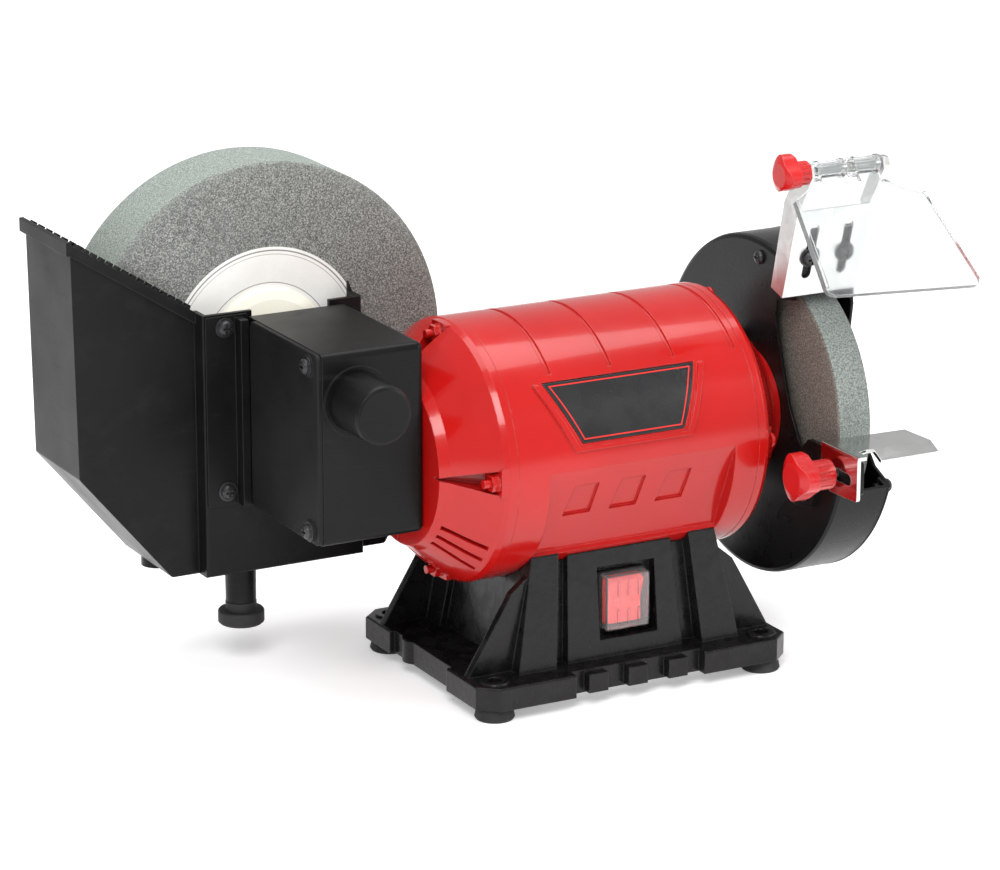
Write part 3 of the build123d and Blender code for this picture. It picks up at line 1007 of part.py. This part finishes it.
# ================= write every node =================
NODES = [
    ("base_casting", base_casting), ("rubber_feet", rubber_feet), ("bottom_plate", bottom_plate), ("bottom_plate_screws", bottom_plate_screws),
    ("motor_housing", motor_housing), ("badge_plate", badge_plate), ("left_end_bell", left_end_bell), ("right_end_bell", right_end_bell),
    ("tie_bolts", tie_bolts), ("tie_bolt_nuts", tie_nuts), ("motor_mount_screws", mount_screws),
    ("stator_core", stator), ("stator_windings", windings), ("rotor_core", rotor_core), ("motor_shaft", shaft),
    ("bearing_inner_races", lambda: races(SHAFT_R, 10.4, 1)), ("bearing_outer_races", lambda: races(14.6, 17.5, 0)), ("bearing_balls", balls),
    ("worm", worm), ("worm_wheel", worm_wheel), ("idler_pinion", idler_pinion), ("idler_shaft", idler_shaft), ("wet_gear", wet_gear), ("wet_shaft", wet_shaft),
    ("gearbox_bushes", lambda: [motor_end_bush()] + gearbox_bushes()),
    ("gearbox_housing", gearbox_housing), ("gearbox_cover", gearbox_cover), ("gearbox_screws", lambda: gearbox_screws() + gearbox_washers()), ("shaft_cap", shaft_cap),
    ("water_trough", water_trough), ("drain_plug", drain_plug),
    ("wet_wheel", wet_wheel), ("wet_wheel_labels", wet_labels), ("wet_inner_flange", wet_inner_flange), ("wet_outer_flange", wet_outer_flange), ("wet_nut", wet_nut),
    ("dry_wheel", dry_wheel), ("dry_inner_flange", dry_inner_flange), ("dry_blotters", dry_blotters), ("dry_outer_flange", dry_outer_flange), ("dry_nut", dry_nut),
    ("guard_shell", guard_shell), ("guard_side_cover", guard_side_cover), ("guard_cover_screws", guard_cover_screws), ("guard_mount_screws", guard_mount_screws),
    ("deflector_bracket", deflector_bracket), ("deflector_screws", deflector_screws),
    ("eye_shield", eye_shield), ("shield_knob", shield_knob), ("shield_rod", lambda: [shield_rod(), shield_rod_nut()]),
    ("tool_rest", tool_rest), ("rest_strut", rest_strut), ("strut_screws", strut_screws), ("rest_knob", rest_knob), ("rest_bolt", rest_bolt),
    ("switch_body", switch_body), ("switch_rocker", switch_rocker), ("switch_cover", switch_cover),
    ("capacitor", capacitor), ("cord_gland", cord_gland),
]


def main():
    for name, fn in NODES:
        r = fn()
        if isinstance(r, (list, tuple)):
            save(name, *r)
        else:
            save(name, r)


main()
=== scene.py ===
import bpy
import json
import math
import random
from mathutils import Matrix, Vector

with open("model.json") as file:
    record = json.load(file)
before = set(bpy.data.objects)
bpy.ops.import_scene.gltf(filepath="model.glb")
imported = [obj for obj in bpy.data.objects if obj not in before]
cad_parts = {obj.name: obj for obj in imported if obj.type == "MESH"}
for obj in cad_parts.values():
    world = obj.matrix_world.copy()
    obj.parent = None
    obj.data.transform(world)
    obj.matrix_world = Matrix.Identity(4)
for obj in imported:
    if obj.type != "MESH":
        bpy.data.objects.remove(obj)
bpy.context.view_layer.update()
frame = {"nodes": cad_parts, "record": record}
NODES = frame["nodes"]
random.seed(7)
MM = 0.001


# ------------------------------------------------------------------ materials
class Mat:
    """Small helper round a node tree with one principled shader."""

    def __init__(self, name):
        self.m = bpy.data.materials.new(name)
        self.m.use_nodes = True
        self.t = self.m.node_tree
        self.n = self.t.nodes
        self.b = self.n["Principled BSDF"]
        self.out = self.n["Material Output"]
        self.tc = self.n.new("ShaderNodeTexCoord")
        self.co = self.tc.outputs["Object"]

    def link(self, a, b):
        self.t.links.new(a, b)

    def set(self, **kw):
        for k, v in kw.items():
            self.b.inputs[k.replace("_", " ")].default_value = v

    def scaled(self, sx, sy, sz, rot=(0, 0, 0)):
        m = self.n.new("ShaderNodeMapping")
        m.inputs["Scale"].default_value = (sx, sy, sz)
        m.inputs["Rotation"].default_value = rot
        self.link(self.co, m.inputs["Vector"])
        return m.outputs["Vector"]

    def noise(self, scale, detail=4.0, rough=0.55, vec=None, dist=0.0):
        x = self.n.new("ShaderNodeTexNoise")
        x.inputs["Scale"].default_value = scale
        x.inputs["Detail"].default_value = detail
        x.inputs["Roughness"].default_value = rough
        x.inputs["Distortion"].default_value = dist
        self.link(vec if vec is not None else self.co, x.inputs["Vector"])
        return x.outputs["Fac"]

    def voronoi(self, scale, vec=None, feature="F1"):
        x = self.n.new("ShaderNodeTexVoronoi")
        x.feature = feature
        x.inputs["Scale"].default_value = scale
        self.link(vec if vec is not None else self.co, x.inputs["Vector"])
        return x.outputs["Distance"], x.outputs.get("Color")

    def ramp(self, fac, stops, interp="LINEAR"):
        r = self.n.new("ShaderNodeValToRGB")
        r.color_ramp.interpolation = interp
        e = r.color_ramp.elements
        while len(e) < len(stops):
            e.new(0.5)
        for i, (p, c) in enumerate(stops):
            e[i].position = p
            e[i].color = (c[0], c[1], c[2], 1.0) if isinstance(c, (tuple, list)) else (c, c, c, 1.0)
        self.link(fac, r.inputs["Fac"])
        return r.outputs["Color"]

    def mix(self, fac, a, b, mode="MIX"):
        x = self.n.new("ShaderNodeMix")
        x.data_type = "RGBA"
        x.blend_type = mode
        for s, v in ((0, fac), (6, a), (7, b)):
            if hasattr(v, "is_linked") or hasattr(v, "links"):
                self.link(v, x.inputs[s])
            elif s == 0:
                x.inputs[0].default_value = v
            else:
                x.inputs[s].default_value = (v[0], v[1], v[2], 1.0)
        return x.outputs[2]

    def math(self, op, a, b=None, c=None):
        x = self.n.new("ShaderNodeMath")
        x.operation = op
        for i, v in enumerate((a, b, c)):
            if v is None:
                continue
            if hasattr(v, "links"):
                self.link(v, x.inputs[i])
            else:
                x.inputs[i].default_value = v
        return x.outputs[0]

    def maprange(self, v, a, b, c, d):
        x = self.n.new("ShaderNodeMapRange")
        x.inputs["From Min"].default_value = a
        x.inputs["From Max"].default_value = b
        x.inputs["To Min"].default_value = c
        x.inputs["To Max"].default_value = d
        self.link(v, x.inputs["Value"])
        return x.outputs["Result"]

    def sep(self, vec=None):
        x = self.n.new("ShaderNodeSeparateXYZ")
        self.link(vec if vec is not None else self.co, x.inputs[0])
        return x.outputs

    def edge(self, width=0.0006, lo=0.02, hi=0.25):
        """0 on flat stretches, 1 on worn outer corners."""
        bv = self.n.new("ShaderNodeBevel")
        bv.samples = 6
        bv.inputs["Radius"].default_value = width
        g = self.n.new("ShaderNodeNewGeometry")
        d = self.n.new("ShaderNodeVectorMath")
        d.operation = "DISTANCE"
        self.link(bv.outputs["Normal"], d.inputs[0])
        self.link(g.outputs["Normal"], d.inputs[1])
        return self.maprange(d.outputs["Value"], lo, hi, 0.0, 1.0)

    def bevel_normal(self, width):
        bv = self.n.new("ShaderNodeBevel")
        bv.samples = 6
        bv.inputs["Radius"].default_value = width
        return bv.outputs["Normal"]

    def bump(self, height, dist, strength=1.0, normal=None):
        x = self.n.new("ShaderNodeBump")
        x.inputs["Strength"].default_value = strength
        x.inputs["Distance"].default_value = dist
        self.link(height, x.inputs["Height"])
        if normal is not None:
            self.link(normal, x.inputs["Normal"])
        self.link(x.outputs["Normal"], self.b.inputs["Normal"])
        return x.outputs["Normal"]

    def color(self, c):
        self.link(c, self.b.inputs["Base Color"])

    def rough(self, r):
        self.link(r, self.b.inputs["Roughness"])


def paint(name, col, col2, rough=(0.18, 0.3), bump_scale=900.0, bump_d=0.00006, coat=0.0, wear=(0.3, 0.3, 0.3), wear_amt=0.5, bev=0.0006, dust=0.0, metallic=0.0, spec=0.5, strength=0.6, edge_lo=0.05):
    m = Mat(name)
    n1 = m.noise(14.0, 5.0)
    c = m.mix(m.ramp(n1, [(0.35, 0.0), (0.7, 1.0)]), col, col2)
    if dust:
        dn = m.noise(60.0, 8.0, 0.7)
        c = m.mix(m.math("MULTIPLY", m.ramp(dn, [(0.52, 0.0), (0.75, 1.0)]), dust), c, (0.35, 0.34, 0.32))
    e = m.edge(0.0007, edge_lo, 0.55)
    en = m.noise(220.0, 4.0, 0.7)
    ew = m.math("MULTIPLY", m.math("MULTIPLY", e, m.ramp(en, [(0.42, 0.0), (0.62, 1.0)])), wear_amt)
    c = m.mix(ew, c, wear)
    m.color(c)
    rn = m.noise(35.0, 6.0)
    m.rough(m.maprange(rn, 0.3, 0.7, rough[0], rough[1]))
    m.set(Metallic=metallic, Specular_IOR_Level=spec, Coat_Weight=coat)
    if coat:
        m.set(Coat_Roughness=0.06)
    h = m.noise(bump_scale, 3.0)
    m.bump(h, bump_d, strength, m.bevel_normal(bev))
    return m.m


MATS = {}
MATS["red_paint"] = paint("grinder_red_paint", (0.40, 0.005, 0.004), (0.47, 0.007, 0.006), rough=(0.16, 0.26), bump_scale=420.0, bump_d=0.00004, coat=0.35, wear=(0.72, 0.16, 0.14), wear_amt=0.25, bev=0.0009, spec=0.28)
MATS["guard_black"] = paint("guard_black_paint", (0.004, 0.004, 0.004), (0.008, 0.008, 0.008), rough=(0.22, 0.34), bump_scale=620.0, bump_d=0.00010, wear=(0.05, 0.05, 0.05), wear_amt=0.3, dust=0.01, spec=0.16, bev=0.0006)


def hammered():
    m = Mat("base_hammered_enamel")
    d, _ = m.voronoi(210.0)
    n = m.noise(120.0, 3.0, 0.5)
    h = m.math("ADD", m.math("MULTIPLY", d, 0.7), m.math("MULTIPLY", n, 0.6))
    geo = m.n.new("ShaderNodeNewGeometry")
    c = m.mix(m.ramp(n, [(0.35, 0.0), (0.7, 1.0)]), (0.004, 0.004, 0.004), (0.009, 0.009, 0.009))
    e = m.edge(0.0009, 0.05, 0.6)
    en = m.noise(180.0, 4.0, 0.7)
    c = m.mix(m.math("MULTIPLY", m.math("MULTIPLY", e, m.ramp(en, [(0.45, 0.0), (0.62, 1.0)])), 0.25), c, (0.06, 0.06, 0.06))
    m.color(c)
    m.rough(m.maprange(n, 0.3, 0.7, 0.20, 0.34))
    m.set(Specular_IOR_Level=0.24, Coat_Weight=0.06, Coat_Roughness=0.08)
    m.bump(h, 0.00022, 0.5, m.bevel_normal(0.0011))
    return m.m


MATS["base_paint"] = hammered()


def plastic(name, col, col2, rough=(0.34, 0.48), grain=1300.0, gd=0.00008, scratch=0.25, bev=0.0006, spec=0.15, edge_col=(0.05, 0.05, 0.05), dust=0.0):
    m = Mat(name)
    n = m.noise(22.0, 5.0)
    c = m.mix(m.ramp(n, [(0.3, 0.0), (0.7, 1.0)]), col, col2)
    sc = m.noise(26.0, 6.0, 0.65, m.scaled(1.0, 1.0, 14.0, (0.3, 0.4, 0.2)))
    sm = m.ramp(sc, [(0.60, 0.0), (0.66, 1.0)])
    c = m.mix(m.math("MULTIPLY", sm, scratch * 0.25), c, (0.06, 0.06, 0.06))
    if dust:
        dn = m.noise(48.0, 8.0, 0.7)
        c = m.mix(m.math("MULTIPLY", m.ramp(dn, [(0.52, 0.0), (0.8, 1.0)]), dust), c, (0.32, 0.31, 0.29))
    e = m.edge(0.0006, 0.08, 0.6)
    c = m.mix(m.math("MULTIPLY", e, 0.35), c, edge_col)
    m.color(c)
    m.rough(m.math("ADD", m.maprange(n, 0.3, 0.7, rough[0], rough[1]), m.math("MULTIPLY", sm, 0.05)))
    m.set(Specular_IOR_Level=spec)
    g = m.noise(grain, 2.0, 0.6)
    m.bump(g, gd, 0.5, m.bevel_normal(bev))
    return m.m


MATS["gearbox_black"] = plastic("gearbox_black_plastic", (0.004, 0.004, 0.004), (0.008, 0.008, 0.008), rough=(0.30, 0.42))
MATS["cover_black"] = plastic("gearbox_cover_plastic", (0.007, 0.007, 0.007), (0.012, 0.012, 0.012), rough=(0.42, 0.55), grain=1700.0, gd=0.00014)
MATS["trough_black"] = plastic("trough_black_plastic", (0.004, 0.004, 0.004), (0.008, 0.008, 0.008), rough=(0.28, 0.42), grain=900.0, gd=0.00008, scratch=0.15, dust=0.02)
MATS["switch_black"] = plastic("switch_black_plastic", (0.012, 0.012, 0.012), (0.018, 0.018, 0.018), rough=(0.30, 0.42), scratch=0.1)
MATS["foot_rubber"] = plastic("foot_black_rubber", (0.012, 0.012, 0.012), (0.020, 0.020, 0.020), rough=(0.62, 0.78), scratch=0.1, spec=0.35, dust=0.15)
MATS["plug_black"] = plastic("plug_black_rubber", (0.012, 0.012, 0.012), (0.020, 0.020, 0.020), rough=(0.52, 0.68), scratch=0.1, spec=0.35)


def red_gloss(name, col, glow=0.0):
    m = Mat(name)
    n = m.noise(40.0, 4.0)
    c = m.mix(m.ramp(n, [(0.3, 0.0), (0.7, 1.0)]), col, (col[0] * 1.12, col[1] * 1.6, col[2] * 1.6))
    e = m.edge(0.0006, 0.08, 0.6)
    c = m.mix(m.math("MULTIPLY", e, 0.18), c, (0.9, 0.32, 0.28))
    m.color(c)
    m.rough(m.maprange(n, 0.3, 0.7, 0.20, 0.32))
    m.set(Specular_IOR_Level=0.4, Coat_Weight=0.2, Coat_Roughness=0.1)
    m.b.inputs["Subsurface Weight"].default_value = 0.06
    m.b.inputs["Subsurface Radius"].default_value = (0.004, 0.001, 0.001)
    if glow:
        m.link(c, m.b.inputs["Emission Color"])
        m.b.inputs["Emission Strength"].default_value = glow
    g = m.noise(700.0, 2.0)
    m.bump(g, 0.00005, 0.5, m.bevel_normal(0.0007))
    return m.m


MATS["knob_red"] = red_gloss("knob_red_plastic", (0.46, 0.005, 0.006))
MATS["rocker_red"] = red_gloss("rocker_red_plastic", (0.80, 0.012, 0.010), glow=0.35)


def sheet_metal(name, col, col2, rough=(0.28, 0.42), brush=None, spangle=0.0, dirt=0.2, metallic=1.0, bev=0.0004, aniso=0.0):
    m = Mat(name)
    n = m.noise(30.0, 6.0)
    c = m.mix(m.ramp(n, [(0.3, 0.0), (0.7, 1.0)]), col, col2)
    if spangle:
        d, vc = m.voronoi(95.0)
        s = m.sep(vc)
        c = m.mix(spangle, c, m.ramp(s[0], [(0.0, tuple(q * 0.72 for q in col)), (1.0, tuple(min(1, q * 1.15) for q in col))]))
    dn = m.noise(90.0, 8.0, 0.75)
    dm = m.ramp(dn, [(0.55, 0.0), (0.78, 1.0)])
    c = m.mix(m.math("MULTIPLY", dm, dirt), c, tuple(q * 0.42 for q in col))
    m.color(c)
    if brush == "x":
        bn = m.noise(60.0, 5.0, 0.7, m.scaled(1.0, 26.0, 26.0))
    elif brush == "y":
        bn = m.noise(60.0, 5.0, 0.7, m.scaled(26.0, 1.0, 26.0))
    elif brush == "z":
        bn = m.noise(60.0, 5.0, 0.7, m.scaled(26.0, 26.0, 1.0))
    else:
        bn = m.noise(240.0, 5.0, 0.6)
    m.rough(m.math("ADD", m.maprange(bn, 0.3, 0.7, rough[0], rough[1]), m.math("MULTIPLY", dm, 0.12)))
    m.set(Metallic=metallic)
    m.bump(bn, 0.00003, 0.6, m.bevel_normal(bev))
    return m.m


MATS["zinc_sheet"] = sheet_metal("galvanised_sheet", (0.70, 0.71, 0.70), (0.80, 0.81, 0.80), rough=(0.30, 0.44), spangle=0.5, dirt=0.18)
MATS["rest_steel"] = sheet_metal("plated_rest_steel", (0.62, 0.62, 0.61), (0.72, 0.72, 0.71), rough=(0.07, 0.16), brush="x", dirt=0.20)
MATS["fastener_steel"] = sheet_metal("fastener_steel_zinc", (0.50, 0.50, 0.49), (0.62, 0.62, 0.60), rough=(0.26, 0.40), dirt=0.3)
MATS["shaft_steel"] = sheet_metal("turned_shaft_steel", (0.52, 0.52, 0.52), (0.62, 0.62, 0.61), rough=(0.18, 0.30), dirt=0.15)
MATS["bearing_steel"] = sheet_metal("bearing_steel_ground", (0.66, 0.66, 0.66), (0.74, 0.74, 0.73), rough=(0.10, 0.18), dirt=0.08)
MATS["lamination"] = sheet_metal("lamination_steel", (0.20, 0.20, 0.21), (0.28, 0.28, 0.29), rough=(0.42, 0.58), dirt=0.3)
MATS["copper_winding"] = sheet_metal("copper_winding_wire", (0.55, 0.20, 0.07), (0.66, 0.27, 0.10), rough=(0.30, 0.45), dirt=0.3)
MATS["bronze"] = sheet_metal("sintered_bronze", (0.52, 0.34, 0.13), (0.62, 0.42, 0.18), rough=(0.34, 0.48), dirt=0.25)
MATS["gear_brass"] = sheet_metal("cut_gear_brass", (0.62, 0.44, 0.16), (0.72, 0.53, 0.22), rough=(0.20, 0.34), dirt=0.2)
MATS["can_grey"] = sheet_metal("capacitor_can", (0.55, 0.56, 0.57), (0.63, 0.64, 0.65), rough=(0.34, 0.46), dirt=0.15)
MATS["black_screw"] = sheet_metal("blackened_screw", (0.035, 0.035, 0.037), (0.06, 0.06, 0.062), rough=(0.28, 0.42), dirt=0.1, metallic=0.7)


def stone_mat(name, axis, cx_, cz_, dark, mid, light, rim_from, rim_col, rim_amt, tread_amt=0.0, speck=1500.0):
    """Bonded abrasive grain; the outer band next to the rim is tinted. axis: 'y' or 'x' is the wheel's axle."""
    m = Mat(name)
    s = m.sep()
    if axis == "y":
        a = m.math("SUBTRACT", s[0], cx_)
        b = m.math("SUBTRACT", s[2], cz_)
    else:
        a = m.math("SUBTRACT", s[1], cx_)
        b = m.math("SUBTRACT", s[2], cz_)
    r = m.math("SQRT", m.math("ADD", m.math("MULTIPLY", a, a), m.math("MULTIPLY", b, b)))
    n1 = m.noise(speck, 2.0, 0.7)
    n2 = m.noise(speck * 0.38, 4.0, 0.75)
    n3 = m.noise(25.0, 5.0, 0.6)
    c = m.ramp(n1, [(0.37, dark), (0.5, mid), (0.64, light)])
    c = m.mix(0.30, c, m.ramp(n2, [(0.35, dark), (0.55, mid), (0.75, light)]))
    c = m.mix(m.math("MULTIPLY", m.ramp(n3, [(0.35, 0.0), (0.7, 1.0)]), 0.22), c, tuple(q * 0.7 for q in mid))
    g = m.n.new("ShaderNodeNewGeometry")
    gn = m.sep(g.outputs["Normal"])
    tread = m.math("MULTIPLY", m.math("LESS_THAN", m.math("ABSOLUTE", gn[1] if axis == "y" else gn[0]), 0.6), tread_amt)
    c = m.mix(tread, c, m.ramp(n1, [(0.36, tuple(q * 0.55 for q in rim_col)), (0.5, rim_col), (0.63, tuple(q * 1.5 for q in rim_col))]))
    rim = m.math("MULTIPLY", m.maprange(r, rim_from, rim_from + 0.006, 0.0, 1.0), rim_amt)
    c = m.mix(rim, c, rim_col, "MIX")
    v, _ = m.voronoi(speck * 0.6)
    pit = m.ramp(v, [(0.0, 1.0), (0.22, 0.0)])
    c = m.mix(m.math("MULTIPLY", pit, 0.25), c, tuple(q * 0.5 for q in dark))
    m.color(c)
    m.rough(m.maprange(n2, 0.3, 0.7, 0.78, 0.95))
    m.set(Specular_IOR_Level=0.25)
    h = m.math("ADD", n1, m.math("MULTIPLY", n2, 0.8))
    m.bump(h, 0.00028, 0.8, m.bevel_normal(0.0006))
    return m.m


WX, WZ = -0.1406, 0.1676
MATS["stone_grey"] = stone_mat("wet_stone_grey", "y", WX, WZ, (0.062, 0.066, 0.062), (0.18, 0.187, 0.175), (0.47, 0.48, 0.455), 0.092, (0.28, 0.32, 0.29), 0.18, tread_amt=0.7, speck=1250.0)
MATS["stone_brown"] = stone_mat("dry_stone_brown", "x", 0.0, 0.1256, (0.085, 0.072, 0.062), (0.165, 0.145, 0.125), (0.34, 0.31, 0.275), 0.0742, (0.23, 0.265, 0.25), 0.3, tread_amt=0.8, speck=1200.0)


def paper_label():
    """Plain paper disc with fine printed rings, no lettering."""
    m = Mat("wheel_paper_label")
    s = m.sep()
    a = m.math("SUBTRACT", s[0], WX)
    b = m.math("SUBTRACT", s[2], WZ)
    r = m.math("SQRT", m.math("ADD", m.math("MULTIPLY", a, a), m.math("MULTIPLY", b, b)))
    n = m.noise(60.0, 6.0, 0.6)
    c = m.mix(m.ramp(n, [(0.3, 0.0), (0.75, 1.0)]), (0.86, 0.85, 0.82), (0.79, 0.775, 0.735))

    def ring(r0, w, amt, col=(0.09, 0.09, 0.10)):
        nonlocal c
        d = m.math("ABSOLUTE", m.math("SUBTRACT", r, r0))
        k = m.math("MULTIPLY", m.math("LESS_THAN", d, w), amt)
        c = m.mix(k, c, col)
    ring(0.0537, 0.00035, 0.8)
    ring(0.0517, 0.00018, 0.6)
    ring(0.0368, 0.00025, 0.7)
    fib = m.noise(900.0, 3.0, 0.7)
    c = m.mix(m.math("MULTIPLY", m.ramp(fib, [(0.55, 0.0), (0.75, 1.0)]), 0.15), c, (0.45, 0.42, 0.35))
    m.color(c)
    m.rough(m.maprange(n, 0.3, 0.7, 0.62, 0.8))
    m.set(Specular_IOR_Level=0.3)
    m.bump(fib, 0.00004, 0.5)
    return m.m


MATS["label_paper"] = paper_label()
MATS["blotter"] = plastic("paper_blotter", (0.40, 0.37, 0.31), (0.48, 0.45, 0.38), rough=(0.7, 0.85), scratch=0.0, edge_col=(0.5, 0.47, 0.4))
MATS["flange_cream"] = paint("flange_cream_enamel", (0.74, 0.71, 0.60), (0.82, 0.79, 0.68), rough=(0.28, 0.40), bump_scale=500.0, bump_d=0.00004, wear=(0.55, 0.50, 0.40), wear_amt=0.4)


def badge():
    """Blank glossy plate with a thin red line set in from its edge."""
    m = Mat("badge_gloss_black")
    s = m.sep()
    R = 0.0685
    ang = m.math("ARCTAN2", m.math("SUBTRACT", s[2], 0.1256), m.math("MULTIPLY", s[1], -1.0))   # radians above the horizontal
    v = m.math("MULTIPLY", ang, R)                  # height along the skin
    v0, v1 = math.radians(12.3) * R, math.radians(40.5) * R

    def band(x, lo, hi):
        return m.math("MULTIPLY", m.math("GREATER_THAN", x, lo), m.math("LESS_THAN", x, hi))
    t = m.math("DIVIDE", m.math("SUBTRACT", v, v0), v1 - v0)
    xl = m.math("ADD", m.math("MULTIPLY", t, -0.0158), -0.0332)
    xr = m.math("ADD", m.math("MULTIPLY", t, 0.0134), 0.0262)
    dl = m.math("MULTIPLY", m.math("SUBTRACT", s[0], xl), 0.9)
    dr = m.math("MULTIPLY", m.math("SUBTRACT", xr, s[0]), 0.92)
    db = m.math("SUBTRACT", v, v0)
    dt = m.math("SUBTRACT", v1, v)
    d = m.math("MINIMUM", m.math("MINIMUM", dl, dr), m.math("MINIMUM", db, dt))
    k = band(d, 0.0020, 0.0027)
    n = m.noise(50.0, 5.0)
    c = m.mix(m.ramp(n, [(0.3, 0.0), (0.7, 1.0)]), (0.006, 0.006, 0.007), (0.011, 0.011, 0.012))
    c = m.mix(m.math("MULTIPLY", k, 0.9), c, (0.78, 0.02, 0.015))
    e = m.edge(0.0004, 0.08, 0.6)
    c = m.mix(m.math("MULTIPLY", e, 0.3), c, (0.2, 0.2, 0.2))
    m.color(c)
    m.rough(m.maprange(n, 0.3, 0.7, 0.22, 0.34))
    m.set(Specular_IOR_Level=0.5, Coat_Weight=0.3, Coat_Roughness=0.1)
    g = m.noise(800.0, 2.0)
    m.bump(g, 0.00004, 0.4, m.bevel_normal(0.0004))
    return m.m


MATS["badge_skin"] = badge()


def clear(name, tint, rough=0.05, density=0.12, edge_light=0.0):
    m = Mat(name)
    n = m.noise(30.0, 6.0, 0.6)
    sc = m.noise(40.0, 6.0, 0.7, m.scaled(1.0, 9.0, 9.0, (0.2, 0.5, 0.1)))
    sm = m.ramp(sc, [(0.62, 0.0), (0.66, 1.0)])
    m.color(m.mix(m.math("MULTIPLY", sm, 0.2), tint, (0.98, 0.98, 0.98)))
    m.rough(m.math("ADD", m.maprange(n, 0.3, 0.7, rough, rough + 0.05), m.math("MULTIPLY", sm, 0.12)))
    m.set(Metallic=0.0, IOR=1.45, Specular_IOR_Level=0.5)
    m.b.inputs["Transmission Weight"].default_value = 0.94
    h = m.noise(35.0, 3.0)
    m.bump(h, 0.00005, 0.4, m.bevel_normal(0.0005))
    return m.m


MATS["clear_shield"] = clear("clear_polycarbonate", (0.84, 0.87, 0.87))
MATS["cover_clear"] = clear("clear_dust_cover", (0.99, 0.99, 0.99), rough=0.02)

SLOT = {}
for s in frame["record"]["subparts"]:
    SLOT[s["node"]] = s["material_slot"]
for name, ob in NODES.items():
    sl = SLOT.get(name)
    if sl in MATS:
        for i in range(max(1, len(ob.material_slots))):
            if i < len(ob.material_slots):
                ob.material_slots[i].material = MATS[sl]


# ------------------------------------------------------------------ stage, light, camera
def stage_floor():
    bpy.ops.mesh.primitive_plane_add(size=12.0, location=(0, 0, 0))
    f = bpy.context.object
    f.name = "floor"
    m = Mat("floor_pale")
    n = m.noise(3.0, 4.0)
    m.color(m.mix(m.ramp(n, [(0.3, 0.0), (0.7, 1.0)]), (0.93, 0.93, 0.93), (0.96, 0.96, 0.96)))
    m.set(Roughness=0.6, Specular_IOR_Level=0.3)
    m.b.inputs["Emission Color"].default_value = (1.0, 1.0, 1.0, 1.0)
    m.b.inputs["Emission Strength"].default_value = 0.32
    f.data.materials.append(m.m)


stage_floor()
w = bpy.data.worlds.new("studio")
bpy.context.scene.world = w
w.use_nodes = True
w.node_tree.nodes["Background"].inputs["Color"].default_value = (1.0, 1.0, 1.0, 1.0)
w.node_tree.nodes["Background"].inputs["Strength"].default_value = 0.58
bpy.context.scene.view_settings.view_transform = "Standard"


def area(name, loc, target, size, energy, color=(1, 1, 1), sy=None):
    l = bpy.data.lights.new(name, "AREA")
    l.shape = "RECTANGLE"
    l.size = size
    l.size_y = sy or size
    l.energy = energy
    l.color = color
    o = bpy.data.objects.new(name, l)
    bpy.context.scene.collection.objects.link(o)
    o.location = loc
    d = Vector(target) - Vector(loc)
    o.rotation_euler = d.to_track_quat("-Z", "Y").to_euler()
    return o


area("key", (-0.9, -1.2, 1.5), (0, 0, 0.12), 0.9, 26.0)
area("fill", (1.3, -0.9, 0.7), (0, 0, 0.12), 0.8, 8.0)
area("top", (0.1, 0.1, 1.5), (0, 0, 0.1), 1.2, 16.0)

YAW, PITCH, ROLL = 0.4957455, 0.2930265, 0.0016547599
CAM = Vector((-0.9882716, -1.7550615, 0.7204585))
d = Vector((math.sin(YAW) * math.cos(PITCH), math.cos(YAW) * math.cos(PITCH), -math.sin(PITCH)))
r = Vector((math.cos(YAW), -math.sin(YAW), 0.0))
u = r.cross(d)
r2 = math.cos(ROLL) * r + math.sin(ROLL) * u
u2 = -math.sin(ROLL) * r + math.cos(ROLL) * u
cam = bpy.data.cameras.new("camera")
cam.sensor_width = 36.0
cam.lens = 145.516
cam.shift_x = -0.00863
cam.shift_y = 0.01822
cam.clip_start = 0.01
cam.dof.use_dof = False
co = bpy.data.objects.new("camera", cam)
bpy.context.scene.collection.objects.link(co)
M = Matrix((
    (r2.x, u2.x, -d.x, CAM.x),
    (r2.y, u2.y, -d.y, CAM.y),
    (r2.z, u2.z, -d.z, CAM.z),
    (0, 0, 0, 1)))
co.matrix_world = M
bpy.context.scene.camera = co
